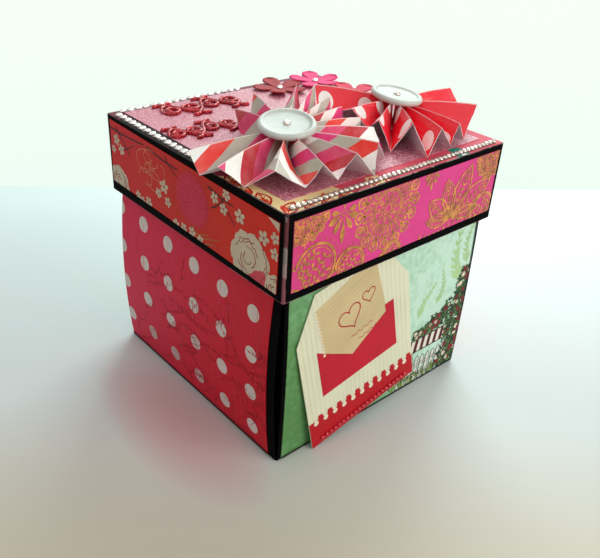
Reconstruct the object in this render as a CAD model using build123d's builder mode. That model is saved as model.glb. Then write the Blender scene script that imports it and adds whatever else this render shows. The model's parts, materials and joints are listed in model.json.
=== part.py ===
"""Explosion gift box: a lidded paper cube whose nested card layers fall open once the lid is off.

The box stands on the ground plane with its origin at the centre of its underside. The front, with the
standing card, looks along -Y and the dotted side looks along -X.
"""

import os
from math import asin, cos, degrees, radians, sin, sqrt, tan

from build123d import *

os.makedirs("parts", exist_ok=True)

# Sheet thicknesses
card = 0.5
mat_card = 0.35
paper = 0.25
glitter_card = 0.8
felt = 0.6

# Folded layers, each a cross of five squares
outer_size = 101.6
layer_step = 6.35
corner_slit = 0.7
wall_bows = {"right": 1.8, "back": 1.0, "left": 2.2, "front": 0.6}
mat_margin = 3.0

# Papers on the outer walls
wall_paper_low = 0.7
wall_paper_top_gap = 1.0
wall_paper_margins = {"right": 2.3, "back": 1.8, "left": 2.8, "front": 1.6}
wall_paper_shifts = {"right": 0.0, "back": 0.0, "left": -1.6, "front": 0.6}

# Lid
lid_play = 1.9
rim_height = 31.0
lid_fold_radius = 0.4
corner_tab_length = 14.0
rim_mat_margin = 1.0
rim_mat_top_gap = 0.3
rim_mat_low_gap = 0.5
rim_paper_margin = 2.6
rim_paper_drop = 2.4
rim_paper_low_gap = 3.6
rim_paper_tilts = {"right": 0.0, "back": 0.0, "left": -1.2, "front": 0.3}
top_mat_border = 5.45
top_mat_shift = 1.8

# Pleated rosettes on the lid
pleats = 14
hub_radius = 3.0
thick_radius = 12.0
disc_radius = 11.0
disc_thickness = 0.4
striped_hub = (-25.0, -19.0)
striped_radius = 33.0
striped_depth = 10.0
striped_phase = 0.0
dotted_hub = (30.8, -16.4)
dotted_radius = 30.0
dotted_depth = 8.4
dotted_phase = 185.0
dotted_lift = 6.2
dotted_tilt = 8.0
dotted_downhill = -45.0

# Buttons on the rosettes
button_radius = 10.0
button_height = 2.4
button_rim = 1.8
button_dish = 0.8
button_edge = 0.7
button_gem_radius = 1.4
button_gem_height = 0.9

# Gem strips
gem_pitch = 3.4
gem_radius = 1.35
gem_height = 1.2
gem_taper = 28.0
gem_sides = 6
band_thickness = 0.3
band_width = 2.4
strip_inset = 2.2
front_gems = 30
back_gems = 17
left_gems = 15

# Flowers along the back of the lid
petals = 5
flower_radius = 11.0
flower_rise = 2.6
flower_heart = 2.6
petal_length = 9.4
petal_width = 8.6
flower_gem_radius = 1.7
flower_gem_height = 1.2
flower_insets = {"red": (31.6, 12.8, 8.0), "pink": (10.6, 12.6, 66.0), "rose": (7.8, 35.0, 12.0)}

# Glitter scrolls
scroll_stroke = 1.9
volute_steps = (1.0, 0.6)
scroll_insets = {"upper": (34.2, 13.2, 8.6), "lower": (19.7, 35.7, 7.0)}

# Standing card at the front
tag_width = 55.5
tag_shoulder = 50.5
tag_height = 67.5
tag_chamfer_angle = 58.0
tag_turn = 11.0
tag_lean = 2.0
tag_corner_inset = 15.1
tag_thickness = 0.4
tag_clearance = 0.1
tag_gems = 22
tag_gem_pitch = 2.15
tag_gem_radius = 0.8
tag_gem_height = 0.7
tag_gem_drop = 2.4

# Places worked out from the sizes above
turns = {"right": 0, "back": 90, "left": 180, "front": 270}
middle_size = outer_size - layer_step
inner_size = middle_size - layer_step
lid_size = outer_size + 2 * (lid_play + card)
wall_top = outer_size
rim_low = wall_top + card - rim_height
lid_top = wall_top + card
mat_top = lid_top + mat_card
lid_half = lid_size / 2


def side_face(side, distance):
    """Upright plane facing out of one side, local x to the right as seen from outside, local y up."""
    turn = turns[side]
    return Plane(
        origin=Vector(distance, 0, 0).rotate(Axis.Z, turn),
        x_dir=Vector(0, 1, 0).rotate(Axis.Z, turn),
        z_dir=Vector(1, 0, 0).rotate(Axis.Z, turn),
    )


def side_section(side, distance, floor=0.0):
    """Upright plane across one wall, local x pointing out of the box, local y up from the floor."""
    turn = turns[side]
    return Plane(
        origin=Vector(distance, 0, floor).rotate(Axis.Z, turn),
        x_dir=Vector(1, 0, 0).rotate(Axis.Z, turn),
        z_dir=Vector(0, -1, 0).rotate(Axis.Z, turn),
    )


def wall_line(x, low, held, top, bow):
    """Upright line of a wall: a bow from its fold to where it is held straight, then straight up."""
    if bow:
        ThreePointArc((x, low), (x + bow, (low + held) / 2), (x, held))
    else:
        Line((x, low), (x, held))
    Line((x, held), (x, top))


def folded_layer(size, floor, held, bows):
    """One cross-shaped sheet of card, its four walls folded up from the base and free at the corners."""
    half = size / 2
    top = size
    with BuildPart() as layer:
        with BuildSketch(Plane.XY.offset(floor)):
            Rectangle(size - 2 * card, size - 2 * card)
        extrude(amount=card)
        for side in turns:
            with BuildSketch(side_section(side, half, floor)):
                with BuildLine():
                    RadiusArc((-card, 0), (0, card), -card)
                    wall_line(0, card, held, top, bows[side])
                    Line((0, top), (-card, top))
                    wall_line(-card, card, held, top, bows[side])
                    Line((-card, card), (-card, 0))
                make_face()
            extrude(amount=half - corner_slit, both=True)
    return layer


def rim_sheet(side, distance, width, height, centre_z, thickness, tilt=0.0):
    """Flat sheet glued upright on one side of the lid."""
    with BuildPart() as sheet:
        with BuildSketch(side_face(side, distance)):
            with Locations(Location((0, centre_z), tilt)):
                Rectangle(width, height)
        extrude(amount=thickness)
    return sheet


def rosette(hub, radius, depth, phase):
    """Strip of paper folded to and fro and drawn into a ring, each panel two flat triangles a side."""
    step = 180 / pleats

    def chord(r):
        return 2 * r * sin(radians(step / 2))

    def upright_thickness(r):
        return paper * depth / chord(r)

    def fold_point(fold, r):
        hub_height = sqrt(depth**2 - chord(hub_radius) ** 2) / 2
        tip_height = sqrt(depth**2 - chord(radius) ** 2) / 2
        height = hub_height + (tip_height - hub_height) * (r - hub_radius) / (radius - hub_radius)
        if fold % 2:
            height = upright_thickness(thick_radius) - height
        angle = radians(phase + fold * step)
        return hub.from_local_coords((r * cos(angle), r * sin(angle), height))

    panels = []
    for inner, outer in ((hub_radius, thick_radius), (thick_radius, radius)):
        thickness = upright_thickness(outer)
        for fold in range(2 * pleats):
            start = fold_point(fold, inner)
            tip = fold_point(fold, outer)
            next_tip = fold_point(fold + 1, outer)
            next_start = fold_point(fold + 1, inner)
            for corners in ((start, tip, next_tip), (start, next_tip, next_start)):
                panel = Face(Wire.make_polygon(corners))
                panels.append(extrude(panel, amount=thickness, dir=-hub.z_dir, mode=Mode.PRIVATE))
    with BuildPart() as ring:
        add(panels)
    return ring


def backing_disc(hub, depth):
    """Round of card that holds the drawn-in folds from below."""
    with BuildPart() as disc:
        with BuildSketch(hub.offset(-depth / 2 - disc_thickness)):
            Circle(disc_radius)
        extrude(amount=disc_thickness)
    return disc


def button(hub, depth):
    """Shank-less round button with a raised rim and a shallow dish."""
    section = Plane(hub.offset(depth / 2).origin, x_dir=hub.x_dir, z_dir=-hub.y_dir)
    with BuildPart() as disc:
        with BuildSketch(section):
            with BuildLine():
                Line((0, 0), (button_radius - button_edge, 0))
                Line((button_radius - button_edge, 0), (button_radius, button_edge))
                Polyline(
                    (button_radius, button_edge),
                    (button_radius, button_height - button_edge),
                    (button_radius - button_edge, button_height),
                    (button_radius - button_rim, button_height),
                    (button_radius - button_rim - button_dish, button_height - button_dish),
                    (0, button_height - button_dish),
                    (0, 0),
                )
            make_face()
        revolve(axis=Axis(hub.origin, hub.z_dir))
    return disc


def cut_gem(plane, spots, radius, height):
    """Faceted stones of one size at the given spots of a plane."""
    with BuildSketch(plane) as stones:
        with spots:
            RegularPolygon(radius, gem_sides)
    extrude(stones.sketch, amount=height, taper=gem_taper)


def gem_strip(plane, count, pitch, radius, height):
    """Row of faceted stones on one clear band, centred on the plane's origin along its local x."""
    with BuildPart() as strip:
        with BuildSketch(plane):
            Rectangle((count - 1) * pitch + band_width, min(band_width, 2 * radius))
        extrude(amount=band_thickness)
        cut_gem(plane.offset(band_thickness), GridLocations(pitch, 0, count, 1), radius, height)
    return strip


def flower(x, y, turn):
    """Die-cut felt flower, its petals bent up around a flat heart."""
    foot = flower_radius - petal_length
    bend = degrees(asin(flower_rise / petal_length))
    with BuildPart() as bloom:
        with BuildSketch(Plane((x, y, mat_top))):
            Circle(flower_heart)
        extrude(amount=felt)
        for petal in range(petals):
            outward = Vector(1, 0, 0).rotate(Axis.Z, turn + petal * 360 / petals)
            across = Vector(0, 0, 1).cross(outward)
            along = outward * cos(radians(bend)) + Vector(0, 0, 1) * sin(radians(bend))
            start = Vector(x, y, mat_top) + outward * foot
            with BuildSketch(Plane(start, x_dir=along, z_dir=along.cross(across))):
                with Locations((petal_length / 2, 0)):
                    Ellipse(petal_length / 2, petal_width / 2)
            extrude(amount=felt)
    return bloom


def scroll(x, y, radius):
    """Double scroll cut from glitter card, each half a volute of shrinking half circles."""
    with BuildPart() as flourish:
        with BuildSketch(Plane((x, y, mat_top))):
            for side in (-1, 1):
                with BuildLine():
                    start = 0.0
                    heading = side
                    for step in volute_steps:
                        reach = heading * step * radius
                        CenterArc((start + reach, 0), step * radius, 0 if heading < 0 else 180, 180)
                        start += 2 * reach
                        heading = -heading
                trace(line_width=scroll_stroke)
        extrude(amount=glitter_card)
    return flourish


# Three nested layers of the box
outer_box = folded_layer(outer_size, 0.0, rim_low, wall_bows)
outer_box.part.label = "outer_box"
export_step(outer_box.part, "parts/outer_box.step")

straight = dict.fromkeys(turns, 0.0)
middle_layer = folded_layer(middle_size, card, middle_size / 2, straight)
middle_layer.part.label = "middle_layer"
export_step(middle_layer.part, "parts/middle_layer.step")

inner_layer = folded_layer(inner_size, 2 * card, inner_size / 2, straight)
inner_layer.part.label = "inner_layer"
export_step(inner_layer.part, "parts/inner_layer.step")

# Printed papers glued to the outside of the outer walls
for side in turns:
    with BuildPart() as wall_paper:
        with BuildSketch(side_section(side, outer_size / 2).offset(-wall_paper_shifts[side])):
            with BuildLine():
                Line((0, card), (paper, card))
                wall_line(0, card, rim_low, wall_top, wall_bows[side])
                wall_line(paper, card, rim_low, wall_top, wall_bows[side])
                Line((0, wall_top), (paper, wall_top))
            make_face()
            with Locations((0, wall_paper_low)):
                Rectangle(
                    outer_size,
                    wall_top - wall_paper_top_gap - wall_paper_low,
                    align=(Align.CENTER, Align.MIN),
                    mode=Mode.INTERSECT,
                )
        extrude(amount=outer_size / 2 - wall_paper_margins[side], both=True)
    wall_paper.part.label = f"wall_paper_{side}"
    export_step(wall_paper.part, f"parts/wall_paper_{side}.step")

# Plain mats on the inside of the two inner layers
for layer_name, size, floor in (("middle", middle_size, card), ("inner", inner_size, 2 * card)):
    mat_size = size - 2 * mat_margin
    for side in turns:
        with BuildPart() as mat:
            with BuildSketch(side_face(side, size / 2 - card - paper)):
                with Locations((0, floor + size / 2)):
                    Rectangle(mat_size, mat_size)
            extrude(amount=paper)
        mat.part.label = f"{layer_name}_mat_{side}"
        export_step(mat.part, f"parts/{layer_name}_mat_{side}.step")

with BuildPart() as floor_mat:
    with BuildSketch(Plane.XY.offset(3 * card)):
        Rectangle(inner_size - 2 * mat_margin, inner_size - 2 * mat_margin)
    extrude(amount=paper)
floor_mat.part.label = "floor_mat"
export_step(floor_mat.part, "parts/floor_mat.step")

# Standing card at the front, on its lower left corner and leaning back against the wall
tag_half_top = tag_width / 2 - (tag_height - tag_shoulder) / tan(radians(tag_chamfer_angle))
tag_reach = (tag_width / 2 + tag_half_top) * sin(radians(tag_turn)) + tag_height * cos(radians(tag_turn))
tag_foot = outer_size / 2 + paper + tag_clearance + tag_reach * tan(radians(tag_lean))
tag_up = Vector(0, sin(radians(tag_lean)), cos(radians(tag_lean)))
tag_plane = Plane(
    origin=(tag_corner_inset - outer_size / 2, -tag_foot, 0),
    x_dir=Vector(1, 0, 0) * cos(radians(tag_turn)) + tag_up * sin(radians(tag_turn)),
    z_dir=Vector(1, 0, 0).cross(tag_up),
)
tag_front = tag_plane.offset(tag_thickness)

with BuildPart() as standing_card:
    with BuildSketch(tag_plane):
        with BuildLine():
            Polyline(
                (0, 0),
                (tag_width, 0),
                (tag_width, tag_shoulder),
                (tag_width / 2 + tag_half_top, tag_height),
                (tag_width / 2 - tag_half_top, tag_height),
                (0, tag_shoulder),
                close=True,
            )
        make_face()
    extrude(amount=tag_thickness)
standing_card.part.label = "standing_card"
export_step(standing_card.part, "parts/standing_card.step")

with BuildPart() as card_gems:
    row_start = tag_front.from_local_coords((tag_width / 2, tag_gem_drop))
    row_plane = Plane(row_start, x_dir=tag_front.x_dir, z_dir=tag_front.z_dir)
    with BuildSketch(row_plane):
        Rectangle((tag_gems - 1) * tag_gem_pitch + 2 * tag_gem_radius, tag_gem_radius)
    extrude(amount=band_thickness)
    stone_spots = GridLocations(tag_gem_pitch, 0, tag_gems, 1)
    cut_gem(row_plane.offset(band_thickness), stone_spots, tag_gem_radius, tag_gem_height)
card_gems.part.label = "card_gems"
export_step(card_gems.part, "parts/card_gems.step")

# Lid: one folded sheet with a tab glued inside each corner
with BuildPart() as lid_tray:
    with BuildSketch(Plane.XY.offset(rim_low)):
        Rectangle(lid_size, lid_size)
    extrude(amount=rim_height)
    fillet(lid_tray.edges() - lid_tray.edges().group_by(Axis.Z)[0], radius=lid_fold_radius)
    with BuildSketch(Plane.XY.offset(rim_low)):
        Rectangle(lid_size - 2 * card, lid_size - 2 * card)
    extrude(amount=rim_height - card, mode=Mode.SUBTRACT)
    for side in ("front", "back"):
        with BuildSketch(side_face(side, lid_half - 2 * card)):
            for end in (-1, 1):
                with BuildLine():
                    Polyline(
                        (end * (lid_half - card), rim_low),
                        (end * (lid_half - card), wall_top),
                        (end * (lid_half - corner_tab_length), wall_top),
                        (end * (lid_half - corner_tab_length / 2), rim_low),
                        close=True,
                    )
                make_face()
        extrude(amount=card)
lid_tray.part.label = "lid_tray"
export_step(lid_tray.part, "parts/lid_tray.step")

# Black mats and patterned papers on the lid's rim
rim_mat_width = lid_size - 2 * rim_mat_margin
rim_mat_height = rim_height - rim_mat_top_gap - rim_mat_low_gap
rim_mat_centre = lid_top - rim_mat_top_gap - rim_mat_height / 2
rim_paper_width = lid_size - 2 * rim_paper_margin
rim_paper_height = rim_height - rim_paper_drop - rim_paper_low_gap
rim_paper_centre = lid_top - rim_paper_drop - rim_paper_height / 2
for side in turns:
    rim_mat = rim_sheet(side, lid_half, rim_mat_width, rim_mat_height, rim_mat_centre, mat_card)
    rim_mat.part.label = f"rim_mat_{side}"
    export_step(rim_mat.part, f"parts/rim_mat_{side}.step")
    rim_paper = rim_sheet(
        side,
        lid_half + mat_card,
        rim_paper_width,
        rim_paper_height,
        rim_paper_centre,
        paper,
        rim_paper_tilts[side],
    )
    rim_paper.part.label = f"rim_paper_{side}"
    export_step(rim_paper.part, f"parts/rim_paper_{side}.step")

with BuildPart() as top_mat:
    with BuildSketch(Plane.XY.offset(lid_top)):
        with Locations((0, top_mat_shift)):
            Rectangle(lid_size - 2 * top_mat_border, lid_size - 2 * top_mat_border)
    extrude(amount=mat_card)
top_mat.part.label = "top_mat"
export_step(top_mat.part, "parts/top_mat.step")

# Gem strips along three edges of the lid
strip_edge = lid_half - strip_inset
strip_end = strip_edge - gem_pitch
strip_planes = {
    "front": (Plane((0, -strip_edge, lid_top)), front_gems),
    "back": (Plane(((back_gems - 1) * gem_pitch / 2 - strip_end, strip_edge, lid_top)), back_gems),
    "left": (
        Plane(
            (-strip_edge, strip_end - (left_gems - 1) * gem_pitch / 2, lid_top),
            x_dir=(0, 1, 0),
            z_dir=(0, 0, 1),
        ),
        left_gems,
    ),
}
for name, (plane, count) in strip_planes.items():
    strip = gem_strip(plane, count, gem_pitch, gem_radius, gem_height)
    strip.part.label = f"gem_strip_{name}"
    export_step(strip.part, f"parts/gem_strip_{name}.step")

# Rosettes, each on its disc and under its button
striped_plane = Plane((*striped_hub, mat_top + disc_thickness + striped_depth / 2))
slope = radians(dotted_tilt)
downhill = radians(dotted_downhill)
dotted_normal = Vector(sin(slope) * cos(downhill), sin(slope) * sin(downhill), cos(slope))
dotted_plane = Plane(
    (*dotted_hub, mat_top + dotted_lift),
    x_dir=Vector(0, 1, 0).cross(dotted_normal),
    z_dir=dotted_normal,
)
for name, hub, radius, depth, phase in (
    ("striped", striped_plane, striped_radius, striped_depth, striped_phase),
    ("dotted", dotted_plane, dotted_radius, dotted_depth, dotted_phase),
):
    ring = rosette(hub, radius, depth, phase)
    ring.part.label = f"rosette_{name}"
    export_step(ring.part, f"parts/rosette_{name}.step")

    disc = backing_disc(hub, depth)
    disc.part.label = f"backing_disc_{name}"
    export_step(disc.part, f"parts/backing_disc_{name}.step")

    cap = button(hub, depth)
    cap.part.label = f"button_{name}"
    export_step(cap.part, f"parts/button_{name}.step")

    with BuildPart() as stone:
        dish = hub.offset(depth / 2 + button_height - button_dish)
        cut_gem(dish, Locations((0, 0)), button_gem_radius, button_gem_height)
    stone.part.label = f"button_gem_{name}"
    export_step(stone.part, f"parts/button_gem_{name}.step")

# Flowers and the stones at their hearts
for name, (inset_x, inset_y, turn) in flower_insets.items():
    x = lid_half - inset_x
    y = lid_half - inset_y
    bloom = flower(x, y, turn)
    bloom.part.label = f"flower_{name}"
    export_step(bloom.part, f"parts/flower_{name}.step")

    with BuildPart() as stone:
        cut_gem(Plane((x, y, mat_top + felt)), Locations((0, 0)), flower_gem_radius, flower_gem_height)
    stone.part.label = f"flower_gem_{name}"
    export_step(stone.part, f"parts/flower_gem_{name}.step")

# Glitter scrolls
for name, (inset_x, inset_y, radius) in scroll_insets.items():
    flourish = scroll(inset_x - lid_half, lid_half - inset_y, radius)
    flourish.part.label = f"scroll_{name}"
    export_step(flourish.part, f"parts/scroll_{name}.step")
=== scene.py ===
"""Explosion gift box, dressed for its portrait.

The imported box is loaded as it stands. Every sheet, stone and button gets its finish, the printed designs
are laid on the papers as thin inked shapes, the two rosettes are folded afresh, and the whole is lit softly
on a pale table. Sizes are in millimetres and turn into metres where a mesh is made.
"""

from __future__ import annotations

import json
import logging
import math
import random
from collections.abc import Callable, Iterable, Sequence
from dataclasses import dataclass, field
from enum import Enum
from typing import ClassVar

import bpy
from mathutils import Matrix, Vector, noise
from mathutils.geometry import tessellate_polygon

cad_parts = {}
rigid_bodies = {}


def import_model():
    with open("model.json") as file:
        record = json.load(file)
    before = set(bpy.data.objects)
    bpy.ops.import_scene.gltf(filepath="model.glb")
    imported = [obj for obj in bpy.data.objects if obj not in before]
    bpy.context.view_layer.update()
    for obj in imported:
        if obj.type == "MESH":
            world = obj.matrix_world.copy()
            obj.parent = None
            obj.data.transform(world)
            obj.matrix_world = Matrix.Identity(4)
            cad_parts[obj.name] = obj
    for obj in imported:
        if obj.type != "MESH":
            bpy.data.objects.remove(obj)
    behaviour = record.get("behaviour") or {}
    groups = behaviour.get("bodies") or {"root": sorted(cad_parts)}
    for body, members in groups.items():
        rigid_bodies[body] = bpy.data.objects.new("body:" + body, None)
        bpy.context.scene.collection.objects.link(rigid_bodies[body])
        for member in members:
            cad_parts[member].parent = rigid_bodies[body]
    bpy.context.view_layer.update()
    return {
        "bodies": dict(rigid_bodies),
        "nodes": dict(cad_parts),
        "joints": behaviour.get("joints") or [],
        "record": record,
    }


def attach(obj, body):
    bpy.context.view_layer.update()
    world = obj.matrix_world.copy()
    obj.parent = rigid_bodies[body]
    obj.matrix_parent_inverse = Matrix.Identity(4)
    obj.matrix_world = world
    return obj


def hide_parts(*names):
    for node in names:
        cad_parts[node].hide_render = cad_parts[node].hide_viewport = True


LOG = logging.getLogger("gift_box")
MM = 0.001
FULL_TURN = 2 * math.pi
NOISE_SEED = 1

Point = tuple[float, float]
Rgb = tuple[float, float, float]


def linear(colour: Rgb) -> tuple[float, ...]:
    """Turns a colour given in 0 to 255 screen values into Blender's linear colour, with full opacity."""
    channels = []
    for value in colour:
        share = value / 255
        channels.append(share / 12.92 if share <= 0.04045 else ((share + 0.055) / 1.055) ** 2.4)
    return (*channels, 1.0)


class Side(Enum):
    """Upright sides of the box, each with the turn of its outward normal about the vertical."""

    RIGHT = 0
    BACK = 90
    LEFT = 180
    FRONT = 270

    @property
    def outward(self) -> Vector:
        """Unit vector out of the side."""
        turn = math.radians(self.value)
        return Vector((round(math.cos(turn)), round(math.sin(turn)), 0))

    @property
    def rightward(self) -> Vector:
        """Unit vector to the right for someone who looks at the side."""
        return Vector((0, 0, 1)).cross(self.outward)

    @property
    def label(self) -> str:
        """Lower-case name, as the nodes use it."""
        return self.name.lower()


class Tree:
    """Node tree that is built up node by node."""

    def __init__(self, tree: bpy.types.NodeTree) -> None:
        """Takes the tree to build up."""
        self.tree = tree

    def add(self, kind: str, inputs: dict[str, object] | None = None, **settings: object) -> bpy.types.Node:
        """Adds a node.

        Args:
            kind: Type of the node.
            inputs: Values or sockets for its inputs, by name or number.
            **settings: Properties of the node.

        Returns:
            The new node.
        """
        node = self.tree.nodes.new(kind)
        for key, value in settings.items():
            setattr(node, key, value)
        for key, value in (inputs or {}).items():
            self.feed(node.inputs[key], value)
        return node

    def feed(self, socket: bpy.types.NodeSocket, value: object) -> None:
        """Links or sets one input.

        Args:
            socket: The input.
            value: An output socket to link, or a value to set.
        """
        if isinstance(value, bpy.types.NodeSocket):
            self.tree.links.new(value, socket)
        else:
            socket.default_value = value

    def math(self, operation: str, *values: object) -> bpy.types.NodeSocket:
        """Adds a Math node and returns its output."""
        return self.add("ShaderNodeMath", dict(enumerate(values)), operation=operation).outputs[0]

    def vector(self, operation: str, inputs: dict[str, object]) -> bpy.types.NodeSocket:
        """Adds a Vector Math node and returns its vector."""
        return self.add("ShaderNodeVectorMath", inputs, operation=operation).outputs[0]

    def split(self, place: bpy.types.NodeSocket) -> bpy.types.NodeOutputs:
        """Splits a place into its x, y and z."""
        return self.add("ShaderNodeSeparateXYZ", {0: place}).outputs

    def ramp(self, value: object, low: float, high: float) -> bpy.types.NodeSocket:
        """Maps a range of a value to 0 to 1, clamped at both ends."""
        inputs = {"Value": value, "From Min": low, "From Max": high}
        return self.add("ShaderNodeMapRange", inputs).outputs[0]

    def mix(self, share: object, first: object, second: object) -> bpy.types.NodeSocket:
        """Mixes two colours, each given in screen values or by a socket.

        Args:
            share: How much of the second colour shows, from 0 to 1.
            first: Colour at 0.
            second: Colour at 1.

        Returns:
            The mixed colour.
        """
        node = self.add("ShaderNodeMix", data_type="RGBA")
        self.feed(node.inputs[0], share)
        self.feed(node.inputs[6], linear(first) if isinstance(first, tuple) else first)
        self.feed(node.inputs[7], linear(second) if isinstance(second, tuple) else second)
        return node.outputs[2]

    def bands(self, value: object, colours: Sequence[Rgb]) -> bpy.types.NodeSocket:
        """Colours a value from 0 to 1 in equal, sharp-edged bands."""
        node = self.add("ShaderNodeValToRGB", {"Fac": value})
        node.color_ramp.interpolation = "CONSTANT"
        elements = node.color_ramp.elements
        while len(elements) < len(colours):
            elements.new(0.5)
        for index, colour in enumerate(colours):
            elements[index].position = index / len(colours)
            elements[index].color = linear(colour)
        return node.outputs[0]


class Graph(Tree):
    """Node tree of one material around its main shader."""

    def __init__(self, name: str) -> None:
        """Starts a material of that name."""
        self.material = bpy.data.materials.new(name)
        self.material.use_nodes = True
        super().__init__(self.material.node_tree)
        self.shader = self.tree.nodes["Principled BSDF"]
        coordinates = self.add("ShaderNodeTexCoord").outputs
        self.place = coordinates["Object"]
        self.sheet = coordinates["UV"]

    def set(self, **values: object) -> None:
        """Feeds the main shader, with underscores for the spaces in a socket's name."""
        for key, value in values.items():
            self.feed(self.shader.inputs[key.replace("_", " ")], value)

    def noise(self, size: float, detail: float = 3.0) -> bpy.types.NodeSocket:
        """Adds cloudy noise from 0 to 1.

        Args:
            size: Size of its features in millimetres.
            detail: How many finer layers it has.

        Returns:
            The grey output.
        """
        inputs = {"Vector": self.place, "Scale": 1 / (size * MM), "Detail": detail}
        return self.add("ShaderNodeTexNoise", inputs).outputs[0]

    def cells(self, size: float, place: bpy.types.NodeSocket) -> bpy.types.NodeSocket:
        """Cuts space into irregular cells of a size in millimetres and gives each a colour of its own."""
        return self.add("ShaderNodeTexVoronoi", {"Vector": place, "Scale": 1 / (size * MM)}).outputs["Color"]

    def bump(self, size: float, detail: float, depth: float) -> None:
        """Raises the surface by noise of a size and depth in millimetres."""
        height = self.noise(size, detail)
        node = self.add("ShaderNodeBump", {"Height": height, "Strength": 1.0, "Distance": depth * MM})
        self.set(Normal=node.outputs[0])

    def paper(self, roughness: float = 0.62, shine: float = 0.25, fibre: float = 0.02) -> None:
        """Gives the surface the dull gloss and the fine fibres of paper."""
        self.set(Roughness=roughness, Specular_IOR_Level=shine)
        self.bump(0.35, 4.0, fibre)


class Finish:
    """Something with a name and a build method that can make a material, once."""

    name: str
    made: ClassVar[dict[str, bpy.types.Material]] = {}

    def material(self) -> bpy.types.Material:
        """Returns the finish's material, made on first use."""
        if self.name not in Finish.made:
            Finish.made[self.name] = self.build()
        return Finish.made[self.name]


@dataclass(frozen=True)
class PaperFinish(Finish):
    """Paper or card with cloudy colour and fine fibres."""

    name: str
    ink: Rgb
    cloud: Rgb | None = None
    cloud_size: float = 14.0
    cloud_share: float = 0.6
    fibre: float = 0.02
    roughness: float = 0.62
    shine: float = 0.25

    def build(self) -> bpy.types.Material:
        """Returns the material."""
        graph = Graph(self.name)
        cloud = self.cloud or tuple(0.9 * channel for channel in self.ink)
        share = graph.ramp(graph.noise(self.cloud_size), 0.35, 0.7)
        graph.set(Base_Color=graph.mix(graph.math("MULTIPLY", share, self.cloud_share), self.ink, cloud))
        graph.paper(self.roughness, self.shine, self.fibre)
        return graph.material


@dataclass(frozen=True)
class FadingPaper(Finish):
    """Printed paper whose mottled ground fades through three inks along one direction.

    The direction needn't be a unit vector. The reach gives where, in millimetres along it, the first and the
    last ink are reached.
    """

    name: str
    high: Rgb
    low: Rgb
    middle: Rgb
    way: tuple[float, float, float]
    reach: tuple[float, float]
    mottle: float = 0.34

    def build(self) -> bpy.types.Material:
        """Returns the material."""
        graph = Graph(self.name)
        slope = graph.add("ShaderNodeVectorMath", {0: graph.place, 1: self.way}, operation="DOT_PRODUCT")
        share = graph.ramp(slope.outputs["Value"], self.reach[0] * MM, self.reach[1] * MM)
        grain = graph.math("SUBTRACT", graph.noise(2.2, 6.0), 0.5)
        broad = graph.math("SUBTRACT", graph.noise(20.0, 2.0), 0.5)
        stain = graph.math("MULTIPLY", graph.math("ADD", grain, broad), self.mottle * 2)
        mottled = graph.math("ADD", share, stain)
        lower = graph.mix(graph.ramp(mottled, 0.0, 0.5), self.low, self.middle)
        graph.set(Base_Color=graph.mix(graph.ramp(mottled, 0.5, 1.0), lower, self.high))
        graph.paper()
        return graph.material


@dataclass(frozen=True)
class GlitterFinish(Finish):
    """Ground colour strewn with small flakes that catch the light one by one."""

    name: str
    ground: Rgb
    cloud: Rgb
    flake: Rgb
    flake_size: float = 0.45
    flake_share: float = 0.35
    tilt: float = 0.5
    roughness: float = 0.45
    metal: float = 0.0

    def build(self) -> bpy.types.Material:
        """Returns the material."""
        graph = Graph(self.name)
        flakes = graph.cells(self.flake_size, graph.place)
        parts = graph.add("ShaderNodeSeparateColor", {0: flakes}).outputs
        lit = graph.math("LESS_THAN", parts[0], self.flake_share)
        ground = graph.mix(graph.ramp(graph.noise(16.0), 0.35, 0.65), self.ground, self.cloud)
        colour = graph.mix(lit, ground, self.flake)
        graph.set(Base_Color=colour, Metallic=self.metal, Roughness=self.roughness)
        centred = graph.vector("SUBTRACT", {0: flakes, 1: (0.5, 0.5, 0.5)})
        leaning = graph.vector("SCALE", {0: centred, "Scale": self.tilt})
        normal = graph.add("ShaderNodeNewGeometry").outputs["Normal"]
        tilted_normal = graph.vector("ADD", {0: normal, 1: leaning})
        graph.set(Normal=graph.vector("NORMALIZE", {0: tilted_normal}))
        return graph.material


@dataclass(frozen=True)
class GlossFinish(Finish):
    """Smooth plastic, stone, foil or felt, by its metal, gloss and coat."""

    name: str
    ink: Rgb
    roughness: float = 0.25
    metal: float = 0.0
    coat: float = 0.0
    wear: float = 0.004
    wear_size: float = 1.5
    vary: float = 0.06

    def build(self) -> bpy.types.Material:
        """Returns the material."""
        graph = Graph(self.name)
        shade = tuple((1 - self.vary) * channel for channel in self.ink)
        share = graph.ramp(graph.noise(self.wear_size * 4), 0.3, 0.7)
        graph.set(Base_Color=graph.mix(share, self.ink, shade))
        graph.set(Roughness=self.roughness, Metallic=self.metal, Coat_Weight=self.coat)
        graph.bump(self.wear_size, 3.0, self.wear)
        return graph.material


@dataclass(frozen=True)
class FoldedPaper(Finish):
    """Printed paper for a strip that is folded later, with the ink worn off along the folds."""

    name: str
    strip: float = 10.0
    fold_share: float = 0.028
    worn_share: float = 0.7

    def worn(self, graph: Graph, printed: bpy.types.NodeSocket, bare: Rgb) -> bpy.types.NodeSocket:
        """Shows some bare paper where the strip is folded.

        Args:
            graph: Tree of the material.
            printed: Colour of the print.
            bare: Colour of the paper.

        Returns:
            The worn print.
        """
        along = graph.split(graph.sheet)[0]
        cell = graph.math("FRACT", graph.math("ADD", graph.math("DIVIDE", along, self.strip), 0.5))
        off = graph.math("ABSOLUTE", graph.math("SUBTRACT", cell, 0.5))
        near = graph.math("LESS_THAN", off, self.fold_share)
        return graph.mix(graph.math("MULTIPLY", near, self.worn_share), printed, bare)


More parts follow.
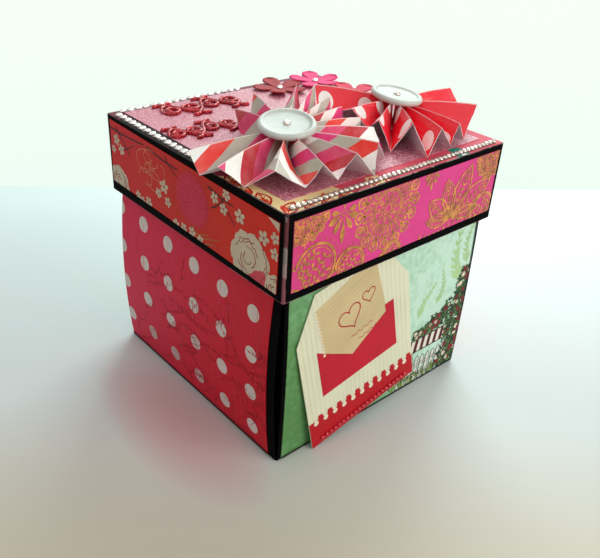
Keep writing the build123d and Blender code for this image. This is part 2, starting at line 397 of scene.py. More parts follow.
@dataclass(frozen=True)
class StripedPaper(FoldedPaper):
    """Paper printed with diagonal stripes along its own length."""

    inks: tuple[Rgb, ...] = ()
    stripe: float = 5.8
    slant: float = -0.7

    def build(self) -> bpy.types.Material:
        """Returns the material."""
        graph = Graph(self.name)
        across, upward, _ = graph.split(graph.sheet)
        slanted = graph.math("MULTIPLY", upward, self.slant)
        along = graph.math("ADD", graph.math("ADD", across, 2 * self.stripe), slanted)
        period = self.stripe * len(self.inks)
        wrapped = graph.math("WRAP", graph.math("DIVIDE", along, period), 1.0, 0.0)
        colour = graph.bands(wrapped, self.inks)
        shade = graph.ramp(graph.noise(6.0), 0.4, 0.75)
        soft = graph.mix(graph.math("MULTIPLY", shade, 0.14), colour, (236, 226, 228))
        worn = self.worn(graph, soft, (246, 240, 242))
        graph.set(Base_Color=worn, Roughness=0.5, Specular_IOR_Level=0.3)
        graph.bump(1.6, 5.0, 0.05)
        return graph.material


@dataclass(frozen=True)
class SpottedPaper(FoldedPaper):
    """Paper printed with round dots on a square grid along its own length."""

    ground: Rgb = (236, 16, 48)
    dot: Rgb = (248, 244, 246)
    pitch: float = 17.3
    radius: float = 3.2
    start: Point = (10.95, 0.0)
    # Stretch and scale of thin pale streaks: painted highlight on fine creases.
    highlight_streak_stretch: float = 0.06
    highlight_streak_scale: float = 1.3

    def build(self) -> bpy.types.Material:
        """Returns the material."""
        graph = Graph(self.name)
        parts = graph.split(graph.sheet)
        squares = []
        for axis in (0, 1):
            cells = graph.math("DIVIDE", graph.math("ADD", parts[axis], self.start[axis]), self.pitch)
            off = graph.math("SUBTRACT", graph.math("FRACT", cells), 0.5)
            squares.append(graph.math("MULTIPLY", off, off))
        reach = graph.math("SQRT", graph.math("ADD", *squares))
        dotted = graph.math("LESS_THAN", reach, self.radius / self.pitch)
        # Painted highlight: thin pale pink streaks that run across the strip, for light caught on fine
        # creases.
        stretched = graph.math("MULTIPLY", parts[1], self.highlight_streak_stretch)
        squeezed = graph.add("ShaderNodeCombineXYZ", {0: parts[0], 1: stretched}).outputs[0]
        inputs = {"Vector": squeezed, "Scale": self.highlight_streak_scale, "Detail": 3.0}
        highlight_streak = graph.ramp(graph.add("ShaderNodeTexNoise", inputs).outputs[0], 0.6, 0.74)
        ground = graph.mix(graph.math("MULTIPLY", highlight_streak, 0.4), self.ground, (252, 150, 160))
        worn = self.worn(graph, graph.mix(dotted, ground, self.dot), (248, 214, 218))
        graph.set(Base_Color=worn, Roughness=0.42, Coat_Weight=0.1)
        graph.bump(2.2, 5.0, 0.06)
        return graph.material


@dataclass(frozen=True)
class PatchFinish(Finish):
    """Patchwork print: irregular patches in a handful of inks, with a black run by the lid's left edge."""

    name: str
    inks: tuple[Rgb, ...]
    patch: float = 5.0
    wobble_size: float = 12.0
    wobble: float = 8.0
    edge: Rgb = (10, 9, 10)
    edge_across: Point = (-49.5, -49.0)
    edge_along: Point = (-9.0, -6.0)

    def build(self) -> bpy.types.Material:
        """Returns the material."""
        graph = Graph(self.name)
        noise_inputs = {"Vector": graph.place, "Scale": 1 / (self.wobble_size * MM)}
        push = graph.add("ShaderNodeTexNoise", noise_inputs).outputs[1]
        scaled = graph.vector("SCALE", {0: push, "Scale": self.wobble * MM})
        patches = graph.cells(self.patch, graph.vector("ADD", {0: graph.place, 1: scaled}))
        number = graph.add("ShaderNodeSeparateColor", {0: patches}).outputs[1]
        across, along, _ = graph.split(graph.place)
        inward = graph.ramp(across, *(limit * MM for limit in self.edge_across))
        frontward = graph.math("SUBTRACT", 1.0, graph.ramp(along, *(limit * MM for limit in self.edge_along)))
        inside = graph.math("MAXIMUM", inward, frontward)
        printed = graph.mix(inside, self.edge, graph.bands(number, self.inks))
        graph.set(Base_Color=printed, Roughness=0.6)
        graph.bump(0.4, 4.0, 0.02)
        return graph.material


WHITE_PAPER = PaperFinish("white_paper", (236, 226, 232), (222, 208, 220), cloud_share=0.7)
BLACK_CARD = PaperFinish("black_card", (4, 4, 5), (8, 7, 9), roughness=0.85, shine=0.04)
CREAM_PAPER = PaperFinish("cream_paper", (244, 238, 222), (236, 226, 206))
DOT_GROUND = FadingPaper(
    "crimson_wall_paper", (204, 18, 40), (216, 36, 78), (210, 26, 58), (0.0, -1.0, -0.5), (-70.0, 40.0), 0.14
)
MINT_GROUND = FadingPaper(
    "mint_wall_paper", (200, 234, 220), (88, 140, 82), (128, 184, 140), (1.0, 0.0, 0.3), (-42.0, 40.0)
)
BLOSSOM_GROUND = FadingPaper(
    "blossom_paper_red", (216, 40, 22), (206, 30, 40), (200, 34, 24), (0.0, -1.0, -0.3), (-76.0, 20.0), 0.2
)
FOIL_GROUND = PaperFinish("hot_pink_paper", (223, 66, 148), (208, 60, 120), 30.0, 0.8)
GLITTER_MAT = GlitterFinish(
    "pink_glitter_paper", (200, 116, 138), (184, 92, 118), (232, 170, 186), 0.42, 0.3, 0.35
)
CREAM_CARD = PaperFinish("cream_card", (228, 230, 208), (220, 220, 194))
GOLD_FOIL = GlossFinish("gold_foil", (240, 160, 84), 0.42, metal=0.45, wear=0.012, wear_size=0.7, vary=0.36)
RED_GLITTER = GlitterFinish(
    "red_glitter", (168, 6, 30), (132, 2, 22), (214, 44, 70), 0.5, 0.3, 0.6, 0.2, 0.35
)
BUTTON_WHITE = GlossFinish("white_button_plastic", (204, 210, 208), 0.5, coat=0.08, wear=0.002)
CLEAR_STONE = GlossFinish("clear_stone", (244, 238, 240), 0.12, metal=0.7, coat=0.6, wear=0.0)
DULL_STONE = GlossFinish("dull_stone", (210, 196, 190), 0.16, metal=0.75, coat=0.5, wear=0.0)
STONE_CUP = GlossFinish("silver_cup", (150, 136, 138), 0.3, metal=0.8)
RED_STONE = GlossFinish("red_stone", (200, 0, 40), 0.2, metal=0.1, coat=0.25, wear=0.0)
RED_PETAL = GlossFinish("dark_red_petal", (164, 14, 38), 0.7, wear=0.03, wear_size=0.8)
PINK_PETAL = GlossFinish("hot_pink_petal", (238, 46, 126), 0.7, wear=0.03, wear_size=0.8)
ROSE_PETAL = GlossFinish("rose_petal", (221, 38, 80), 0.7, wear=0.03, wear_size=0.8)
FIRST_PATCHES = ((128, 118, 120), (92, 30, 44), (150, 128, 130), (40, 24, 28))
LAST_PATCHES = ((128, 66, 80), (24, 16, 20), (120, 110, 114))
PATCHWORK = PatchFinish("patchwork_print", FIRST_PATCHES + LAST_PATCHES)
WARM_STRIPES = ((255, 255, 253), (240, 62, 54), (188, 184, 172), (236, 62, 132))
COOL_STRIPES = ((255, 255, 254), (196, 26, 46), (224, 70, 118), (192, 188, 178))
STRIPES = StripedPaper("striped_rosette_paper", inks=WARM_STRIPES + COOL_STRIPES)
SPOTS = SpottedPaper("spotted_rosette_paper")


@dataclass(frozen=True)
class Ink:
    """One printed colour and how high it lies in the stack of inks."""

    finish: Finish
    layer: int = 0


def ink(name: str, colour: Rgb, layer: int = 0) -> Ink:
    """Makes a plain printing ink.

    Args:
        name: Name of the ink.
        colour: Its colour in 0 to 255 screen values.
        layer: Its place in the stack, higher over lower.

    Returns:
        The ink.
    """
    return Ink(PaperFinish(f"ink_{name}", colour, fibre=0.01), layer)


@dataclass
class Panel:
    """Rectangle of paper in space, with u to the right, v up and perhaps a bow between two heights.

    The origin is where u and v are zero; the bow is a circular arc that bulges along the normal.
    """

    origin: Vector
    right: Vector
    up: Vector
    limits: tuple[float, float, float, float]
    bow: float = 0.0
    bow_low: float = 0.0
    bow_high: float = 1.0

    @property
    def normal(self) -> Vector:
        """Unit vector out of the paper."""
        return self.right.cross(self.up)

    def bulge(self, v: float) -> float:
        """How far the paper stands out at a height."""
        if not self.bow or not self.bow_low < v < self.bow_high:
            return 0.0
        half = (self.bow_high - self.bow_low) / 2
        radius = (half**2 + self.bow**2) / (2 * self.bow)
        off = v - (self.bow_low + self.bow_high) / 2
        return math.sqrt(radius**2 - off**2) - (radius - self.bow)

    def point(self, u: float, v: float, lift: float) -> Vector:
        """Place of a printed point, in metres.

        Args:
            u: Distance to the right in millimetres.
            v: Distance up in millimetres.
            lift: Distance off the paper in millimetres.

        Returns:
            The point.
        """
        out = self.normal * (lift + self.bulge(v))
        return (self.origin + self.right * u + self.up * v + out) * MM


def clip(polygon: list[Point], axis: int, limit: float, keep_above: bool) -> list[Point]:
    """Cuts a convex polygon by one straight line along an axis.

    Args:
        polygon: Corners of the polygon.
        axis: 0 to cut at a value of u, 1 at a value of v.
        limit: Where the line lies.
        keep_above: Whether the part above the limit stays, or the part below it.

    Returns:
        The corners of what is left.
    """
    sign = 1 if keep_above else -1
    kept = []
    for index, corner in enumerate(polygon):
        before = polygon[index - 1]
        inside = sign * (corner[axis] - limit) >= 0
        if inside != (sign * (before[axis] - limit) >= 0):
            share = (limit - before[axis]) / (corner[axis] - before[axis])
            kept.append(tuple(b + share * (c - b) for b, c in zip(before, corner)))
        if inside:
            kept.append(corner)
    return kept


def make_mesh(
    name: str, points: Sequence[Vector], faces: Sequence[Sequence[int]], smooth: bool = False
) -> bpy.types.Mesh:
    """Makes a mesh of points in metres, flat or smooth."""
    mesh = bpy.data.meshes.new(name)
    mesh.from_pydata(points, [], faces)
    mesh.polygons.foreach_set("use_smooth", [smooth] * len(faces))
    return mesh


def add_piece(
    mesh: bpy.types.Mesh, body: str, finishes: Iterable[Finish], node: str = ""
) -> bpy.types.Object:
    """Puts a mesh into the scene as a piece of the object, under the mesh's own name.

    Args:
        mesh: The mesh, in metres.
        body: Body that it rides on.
        finishes: Its finishes, in the order of the mesh's material numbers.
        node: Node that it replaces, if any.

    Returns:
        The new object.
    """
    piece = bpy.data.objects.new(mesh.name, mesh)
    bpy.context.scene.collection.objects.link(piece)
    for finish in finishes:
        mesh.materials.append(finish.material())
    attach(piece, body)
    if node:
        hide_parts(node)
    LOG.info("%s: %d faces on %s", mesh.name, len(mesh.polygons), body)
    return piece


def thicken(piece: bpy.types.Object, thickness: float, offset: int) -> bpy.types.SolidifyModifier:
    """Gives a sheet its thickness in millimetres, above it for an offset of 1 and below it for -1."""
    solid = piece.modifiers.new("thickness", "SOLIDIFY")
    solid.thickness = thickness * MM
    solid.offset = offset
    return solid


@dataclass
class Print:
    """Design printed on one panel, gathered shape by shape and laid down as one thin mesh."""

    name: str
    panel: Panel
    body: str
    slot: str
    first_lift: float = 0.05
    layer_lift: float = 0.01
    shape_lift: float = 0.0001
    band: float = 6.0
    least_area: float = 5e-6
    strokes: int = 0
    shapes: list[tuple[list[Point], Ink, int]] = field(default_factory=list)

    def fill(self, outline: Sequence[Point], tint: Ink) -> None:
        """Adds a filled outline, given counter-clockwise or clockwise."""
        self.strokes += 1
        self.shapes.append((list(outline), tint, self.strokes))

    def stroke(self, path: Sequence[Point], width: float, tint: Ink, taper: float = 1.0) -> None:
        """Adds a line of even or tapering width.

        Args:
            path: Points that the line follows.
            width: Its width at the start.
            tint: Its ink.
            taper: Its width at the end as a share of the width at the start.
        """
        self.strokes += 1
        left = []
        right = []
        for index, point in enumerate(path):
            before = path[max(index - 1, 0)]
            after = path[min(index + 1, len(path) - 1)]
            run = Vector((after[0] - before[0], after[1] - before[1]))
            if run.length < 1e-6:
                continue
            run.normalize()
            half = width / 2 * (1 + (taper - 1) * index / (len(path) - 1))
            left.append((point[0] - run.y * half, point[1] + run.x * half))
            right.append((point[0] + run.y * half, point[1] - run.x * half))
        for index in range(len(left) - 1):
            quad = [left[index], right[index], right[index + 1], left[index + 1]]
            self.shapes.append((quad, tint, self.strokes))

    def block(self, left: float, low: float, right: float, high: float, tint: Ink) -> None:
        """Adds a rectangle."""
        self.fill([(left, low), (right, low), (right, high), (left, high)], tint)

    def loop(self, outline: Sequence[Point], width: float, tint: Ink) -> None:
        """Adds a closed line of even width round an outline."""
        self.stroke([*outline, outline[0]], width, tint)

    def pieces(self, outline: list[Point]) -> list[list[Point]]:
        """Cuts an outline into convex pieces inside the panel, short enough to follow its bow."""
        flat = [Vector((x, y, 0)) for x, y in outline]
        triangles = [list(outline)]
        if len(outline) > 3:
            triangles = [[outline[corner] for corner in triangle] for triangle in tessellate_polygon([flat])]
        left, low, right, high = self.panel.limits
        found = []
        for triangle in triangles:
            for axis, limit, above in ((0, left, True), (0, right, False), (1, low, True), (1, high, False)):
                triangle = clip(triangle, axis, limit, above)
            if len(triangle) < 3:
                continue
            if not self.panel.bow:
                found.append(triangle)
                continue
            lowest = min(point[1] for point in triangle)
            highest = max(point[1] for point in triangle)
            for step in range(math.floor(lowest / self.band), math.floor(highest / self.band) + 1):
                part = clip(clip(triangle, 1, step * self.band, True), 1, (step + 1) * self.band, False)
                if len(part) >= 3:
                    found.append(part)
        return found

    def lay(self) -> bpy.types.Object:
        """Builds the mesh of the whole design and returns its object."""
        points: list[Vector] = []
        faces: list[list[int]] = []
        numbers: list[int] = []
        finishes: list[Finish] = []
        for outline, tint, order in self.shapes:
            if tint.finish not in finishes:
                finishes.append(tint.finish)
            lift = self.first_lift + self.layer_lift * tint.layer + self.shape_lift * order
            for part in self.pieces(outline):
                doubled = sum(part[i - 1][0] * v - u * part[i - 1][1] for i, (u, v) in enumerate(part))
                if abs(doubled) < 2 * self.least_area:
                    continue
                if doubled < 0:
                    part.reverse()
                faces.append(list(range(len(points), len(points) + len(part))))
                numbers.append(finishes.index(tint.finish))
                points.extend(self.panel.point(u, v, lift) for u, v in part)
        mesh = make_mesh(self.name, points, faces)
        mesh.polygons.foreach_set("material_index", numbers)
        return add_piece(mesh, self.body, finishes)


def arc(
    centre: Point, radius: float, start: float, sweep: float, steps: int = 16, squash: float = 1.0
) -> list[Point]:
    """Points along an arc, with angles in degrees and the height scaled by the squash."""
    u, v = centre
    tall = radius * squash
    angles = [math.radians(start + sweep * step / steps) for step in range(steps + 1)]
    return [(u + radius * math.cos(angle), v + tall * math.sin(angle)) for angle in angles]


def disc(centre: Point, radius: float, steps: int = 28, squash: float = 1.0) -> list[Point]:
    """Closed outline of a round or flattened spot."""
    return arc(centre, radius, 0, 360, steps, squash)[:-1]


def turned(points: Sequence[Point], centre: Point, angle: float, scale: float = 1.0) -> list[Point]:
    """Points scaled and turned about the origin, then moved to a centre."""
    cosine = math.cos(math.radians(angle)) * scale
    sine = math.sin(math.radians(angle)) * scale
    return [(centre[0] + x * cosine - y * sine, centre[1] + x * sine + y * cosine) for x, y in points]


def leaf(length: float, width: float, steps: int = 8, fullest: float = 0.5) -> list[Point]:
    """Outline of a leaf along +x from the origin.

    Args:
        length: Distance from stalk to tip.
        width: Width at the fullest place.
        steps: Points along each edge.
        fullest: Where along the length it is widest.

    Returns:
        The outline.
    """
    power = math.log(0.5) / math.log(fullest)
    shares = [step / steps for step in range(steps + 1)]
    upper = [(length * share, width / 2 * math.sin(math.pi * share**power)) for share in shares]
    lower = [(x, -y) for x, y in reversed(upper[1:-1])]
    return upper + lower


NOTCHED_HALF = ((0.98, 0.08), (0.95, 0.3), (0.72, 0.5), (0.4, 0.42))


def notched_petal(length: float, width: float) -> list[Point]:
    """Outline of a blossom's petal along +x, with a small notch in its round tip."""
    upper = [(length * x, width * y) for x, y in NOTCHED_HALF]
    lower = [(x, -y) for x, y in reversed(upper)]
    return [(0.08 * length, 0.0), *lower, (0.86 * length, 0.0), *upper]


def spiral(turns: float, radius: float, steps: int = 40, inner: float = 0.12) -> list[Point]:
    """Points of a spiral from its inner end out to (radius, 0)."""
    found = []
    for step in range(steps + 1):
        share = step / steps
        angle = FULL_TURN * turns * (share - 1)
        reach = radius * (inner + (1 - inner) * share)
        found.append((reach * math.cos(angle), reach * math.sin(angle)))
    return found


def bend(points: Sequence[Point], steps: int = 6) -> list[Point]:
    """Smooth curve through a few given points."""
    found = []
    for index in range(len(points) - 1):
        before = points[max(index - 1, 0)]
        start = points[index]
        end = points[index + 1]
        after = points[min(index + 2, len(points) - 1)]
        for step in range(steps):
            t = step / steps
            spot = []
            for a, b, c, d in zip(before, start, end, after):
                square = (2 * a - 5 * b + 4 * c - d) * t * t
                cube = (3 * b - a - 3 * c + d) * t**3
                spot.append(0.5 * (2 * b + (c - a) * t + square + cube))
            found.append(tuple(spot))
    found.append(points[-1])
    return found


@dataclass
class BoxSizes:
    """Driving sizes of the box, the same as the model's."""

    outer_half: float = 50.8
    paper: float = 0.25
    card: float = 0.5
    rim_low: float = 71.1
    wall_low: float = 0.7
    wall_high: float = 100.6
    lid_half: float = 53.2
    lid_top: float = 102.1
    mat_card: float = 0.35
    rim_paper_half: float = 50.6
    rim_paper_low: float = 74.7
    rim_paper_high: float = 99.7

    @property
    def mat_top(self) -> float:
        """Height of the glitter paper's face."""
        return self.lid_top + self.mat_card


SIZES = BoxSizes()
WALL_BOWS = {Side.RIGHT: 1.8, Side.BACK: 1.0, Side.LEFT: 2.2, Side.FRONT: 0.6}
WALL_MARGINS = {Side.RIGHT: 2.3, Side.BACK: 1.8, Side.LEFT: 2.8, Side.FRONT: 1.6}
WALL_SHIFTS = {Side.RIGHT: 0.0, Side.BACK: 0.0, Side.LEFT: -1.6, Side.FRONT: 0.6}
RIM_TILTS = {Side.RIGHT: 0.0, Side.BACK: 0.0, Side.LEFT: -1.2, Side.FRONT: 0.3}


def wall_panel(side: Side) -> Panel:
    """Panel of the paper on one outer wall, with v measured from the table."""
    half = SIZES.outer_half - WALL_MARGINS[side]
    shift = WALL_SHIFTS[side]
    return Panel(
        side.outward * (SIZES.outer_half + SIZES.paper),
        side.rightward,
        Vector((0, 0, 1)),
        (shift - half, SIZES.wall_low, shift + half, SIZES.wall_high),
        WALL_BOWS[side],
        SIZES.card,
        SIZES.rim_low,
    )


def rim_panel(side: Side) -> Panel:
    """Panel of the paper on one side of the lid, with u and v measured from the paper's middle."""
    tilt = math.radians(RIM_TILTS[side])
    middle = (SIZES.rim_paper_low + SIZES.rim_paper_high) / 2
    up = Vector((0, 0, 1))
    right = side.rightward * math.cos(tilt) + up * math.sin(tilt)
    height = (SIZES.rim_paper_high - SIZES.rim_paper_low) / 2
    return Panel(
        side.outward * (SIZES.lid_half + SIZES.mat_card + SIZES.paper) + up * middle,
        right,
        side.outward.cross(right),
        (-SIZES.rim_paper_half, -height, SIZES.rim_paper_half, height),
    )


@dataclass
class DottedWall:
    """Crimson wall paper with rows of pale dots, dark sprigs low down and fine scratches."""

    side: Side
    pitch_across: float = 17.6
    narrowing: float = 0.2
    drift: float = 1.0
    pitch_down: float = 16.6
    first: Point = (-32.9, 62.7)
    fall: float = 0.052
    radius: float = 3.2
    sprigs: int = 95
    scratches: int = 46
    reach: float = 46.0
    foot: float = 1.1
    columns: range = range(-2, 6)
    rows: range = range(-2, 4)
    dot: Ink = ink("pale_dot", (222, 206, 206), 1)
    faded_dot: Ink = ink("faded_dot", (206, 170, 172), 1)
    sprig: Ink = ink("dark_sprig", (174, 14, 38), 2)
    fleck: Ink = ink("dark_fleck", (138, 20, 36), 3)
    scratch: Ink = ink("pale_scratch", (220, 76, 96), 0)
    edge: Ink = ink("card_edge", (6, 6, 8), 8)

    def build(self) -> None:
        """Prints the wall's paper."""
        design = Print(f"dots_{self.side.label}", wall_panel(self.side), "box", "dotted_wall_paper")
        rng = random.Random(31 + self.side.value)
        for row in self.rows:
            for column in self.columns:
                u = self.first[0] + column * (self.pitch_across - self.narrowing * row) + row * self.drift
                v = self.first[1] - row * self.pitch_down - self.fall * (u - self.first[0])
                faded = row == 3 and column in (0, 1, 2)
                design.fill(disc((u, v), self.radius, 32), self.faded_dot if faded else self.dot)
        for _ in range(self.sprigs):
            spot = (self.reach * (1 - 2 * rng.random() ** 1.3), rng.uniform(2, 50))
            self.add_sprig(design, spot, rng)
        for _ in range(self.scratches):
            u = rng.uniform(-self.reach, self.reach)
            v = rng.uniform(20, 70)
            design.stroke([(u, v), (u + rng.uniform(-0.4, 0.4), v - rng.uniform(6, 22))], 0.16, self.scratch)
        left, low, right, _ = design.panel.limits
        design.block(left, low, right, low + self.foot, self.edge)
        design.lay()

    def add_sprig(self, design: Print, start: Point, rng: random.Random) -> None:
        """Draws one loose sprig.

        Args:
            design: The print that it joins.
            start: Foot of the sprig.
            rng: Source of its shape.
        """
        heading = rng.uniform(-40, 60)
        path = [start]
        for _ in range(5):
            heading += rng.uniform(-28, 28)
            step = rng.uniform(1.6, 2.8)
            path += turned([(step, 0)], path[-1], heading)
        curve = bend(path, 4)
        design.stroke(curve, 0.22, self.sprig, 0.4)
        for index in range(4, len(curve) - 1, 4):
            angle = heading + rng.choice((-1, 1)) * rng.uniform(35, 75)
            tint = self.fleck if rng.random() < 0.15 else self.sprig
            design.fill(turned(leaf(rng.uniform(1.0, 2.0), 0.5, 5), curve[index], angle), tint)


@dataclass
class GardenWall:
    """Mint wall paper: pale fronds, a dense climbing rose, a striped flower box and a picket fence."""

    side: Side
    foot: float = 0.8
    picket_pitch: float = 3.4
    picket_half: float = 1.1
    fence_height: float = 11.5
    grass_blades: int = 120
    stripes: int = 13
    bush_leaves: int = 760
    spray_leaves: int = 330
    roses: int = 62
    frond: Ink = ink("pale_green_frond", (180, 217, 158), 1)
    shadow: Ink = ink("bush_shadow", (52, 44, 40), 2)
    stem: Ink = ink("twig_brown", (74, 48, 42), 3)
    leaf_dark: Ink = ink("leaf_dark", (40, 62, 40), 4)
    leaf_mid: Ink = ink("leaf_mid", (78, 116, 62), 5)
    rose: Ink = ink("rose_crimson", (142, 34, 44), 6)
    rose_light: Ink = ink("rose_cream", (236, 226, 206), 6)
    line: Ink = ink("sketch_line", (54, 42, 44), 7)
    dark: Ink = ink("box_stripe", (84, 30, 36), 5)
    pale: Ink = ink("box_cream", (238, 234, 222), 4)
    fence: Ink = ink("fence_white", (226, 232, 224), 3)
    grass: Ink = ink("grass_green", (132, 168, 70), 4)
    edge: Ink = ink("card_edge", (6, 6, 8), 8)

    def build(self) -> None:
        """Prints the wall's paper."""
        design = Print(f"garden_{self.side.label}", wall_panel(self.side), "box", "mint_wall_paper")
        rng = random.Random(77 + self.side.value)
        self.add_fronds(design)
        self.add_fence(design, (12.0, 48.5), 1.5, rng)
        self.add_box(design, (17.0, 17.5), 26.0, 6.5)
        self.add_bush(design, rng)
        left, low, right, high = design.panel.limits
        design.block(left, low, right, low + self.foot, self.edge)
        inner = [(right - 1.9, high), (right - 0.9, 45), (right - 0.4, low)]
        design.fill([(right, low), (right, high), *inner], self.edge)
        design.lay()

    def add_fronds(self, design: Print) -> None:
        """Draws faint fronds with long leaves in the upper part."""
        for foot, bow, tip, size in (
            ((43, 45), (38.5, 56), (39.5, 70), 5.6),
            ((46.5, 52), (44.5, 61), (47, 69), 3.6),
            ((20, 35), (22.5, 42), (28, 48), 3.4),
            ((30.5, 38), (33.5, 45), (31.5, 53), 3.0),
        ):
            path = bend([foot, bow, tip], 8)
            design.stroke(path, size * 0.16, self.frond, 0.4)
            for index in range(1, len(path) - 1, 2):
                (low_u, low_v), (high_u, high_v) = path[index - 1], path[index + 1]
                heading = math.degrees(math.atan2(high_v - low_v, high_u - low_u))
                length = size * (1.1 - 0.6 * index / len(path))
                for way in (-1, 1):
                    blade = leaf(length, length * 0.3, 6)
                    design.fill(turned(blade, path[index], heading + 32 * way), self.frond)

    def add_fence(self, design: Print, ends: Point, foot: float, rng: random.Random) -> None:
        """Draws a picket fence in loose sketched lines, with grass at its foot."""
        start, end = ends
        height = self.fence_height
        for index in range(int((end - start) / self.picket_pitch)):
            u = start + (index + 0.5) * self.picket_pitch
            left = u - self.picket_half
            right = u + self.picket_half
            top = foot + height + rng.uniform(-0.5, 0.5)
            picket = [(left, foot), (right, foot), (right, top), (u, top + 1.6), (left, top)]
            design.fill(picket, self.fence)
            for _ in range(2):
                wobble = [(x + rng.uniform(-0.15, 0.15), y + rng.uniform(-0.15, 0.15)) for x, y in picket]
                design.loop(wobble, 0.22, self.line)
            for _ in range(5):
                v = rng.uniform(foot, top)
                design.stroke([(u - 0.9, v), (u + 0.9, v + rng.uniform(0.2, 0.9))], 0.14, self.line)
        for rail in (0.28, 0.72):
            level = foot + height * rail
            design.stroke([(start, level), (end, level)], 0.9, self.pale)
            for off in (-0.5, 0.5):
                design.stroke([(start, level + off), (end, level + off)], 0.2, self.line)
        for _ in range(self.grass_blades):
            spot = (rng.uniform(start - 3, end), rng.uniform(foot - 1, foot + 3))
            tint = self.grass if rng.random() < 0.7 else self.leaf_dark
            design.fill(turned(leaf(rng.uniform(2, 4), 0.7, 4), spot, rng.uniform(50, 130)), tint)

    def add_box(self, design: Print, corner: Point, width: float, height: float) -> None:
        """Draws a flower box with slanted stripes, given its lower left corner."""
        u, v = corner
        for index in range(self.stripes):
            low = u + width * index / self.stripes
            high = low + width / self.stripes
            quad = [(low - 0.8, v), (high - 0.8, v), (high, v + height), (low, v + height)]
            design.fill(quad, self.dark if index % 2 == 0 else self.pale)
        for level in (v, v + height):
            design.stroke([(u - 1, level), (u + width + 0.4, level)], 0.5, self.line)

    def add_bush(self, design: Print, rng: random.Random) -> None:
        """Draws the climbing rose, dense at the paper's right edge and thinner over the flower box."""
        for foot, bends in (
            ((47, 2), ((46, 14), (48, 28), (45, 40), (47, 49))),
            ((43, 3), ((44, 12), (40, 24), (37, 31), (28, 33))),
            ((45, 6), ((43, 20), (44, 32), (40, 38))),
        ):
            design.stroke(bend([foot, *bends]), 0.9, self.stem, 0.3)
        spots = []
        for _ in range(self.bush_leaves):
            v = rng.uniform(1, 50)
            width = 13 - 0.16 * v
            u = 49.4 - width * rng.random() ** 1.3
            spots.append((u, v))
        for _ in range(self.spray_leaves):
            u = rng.uniform(19, 40)
            spots.append((u, 24.5 + rng.uniform(0, 3.5) + 10 * ((u - 19) / 21) ** 1.5 * rng.random()))
        for spot in spots:
            if rng.random() < 0.3:
                design.fill(disc(spot, rng.uniform(0.5, 1.1), 7), self.shadow)
        for spot in spots:
            tint = rng.choice((self.leaf_dark, self.leaf_dark, self.leaf_mid))
            blade = leaf(rng.uniform(1.3, 2.2), rng.uniform(0.7, 1.1), 4)
            design.fill(turned(blade, spot, rng.uniform(0, 360)), tint)
        for spot in rng.sample(spots, self.roses):
            size = rng.uniform(0.7, 1.25)
            pale = rng.random() < 0.3
            design.fill(disc(spot, size, 9), self.rose_light if pale else self.rose)
            curl = arc(spot, size * 0.55, rng.uniform(0, 360), 250, 7)
            design.stroke(curl, 0.2, self.rose if pale else self.line)


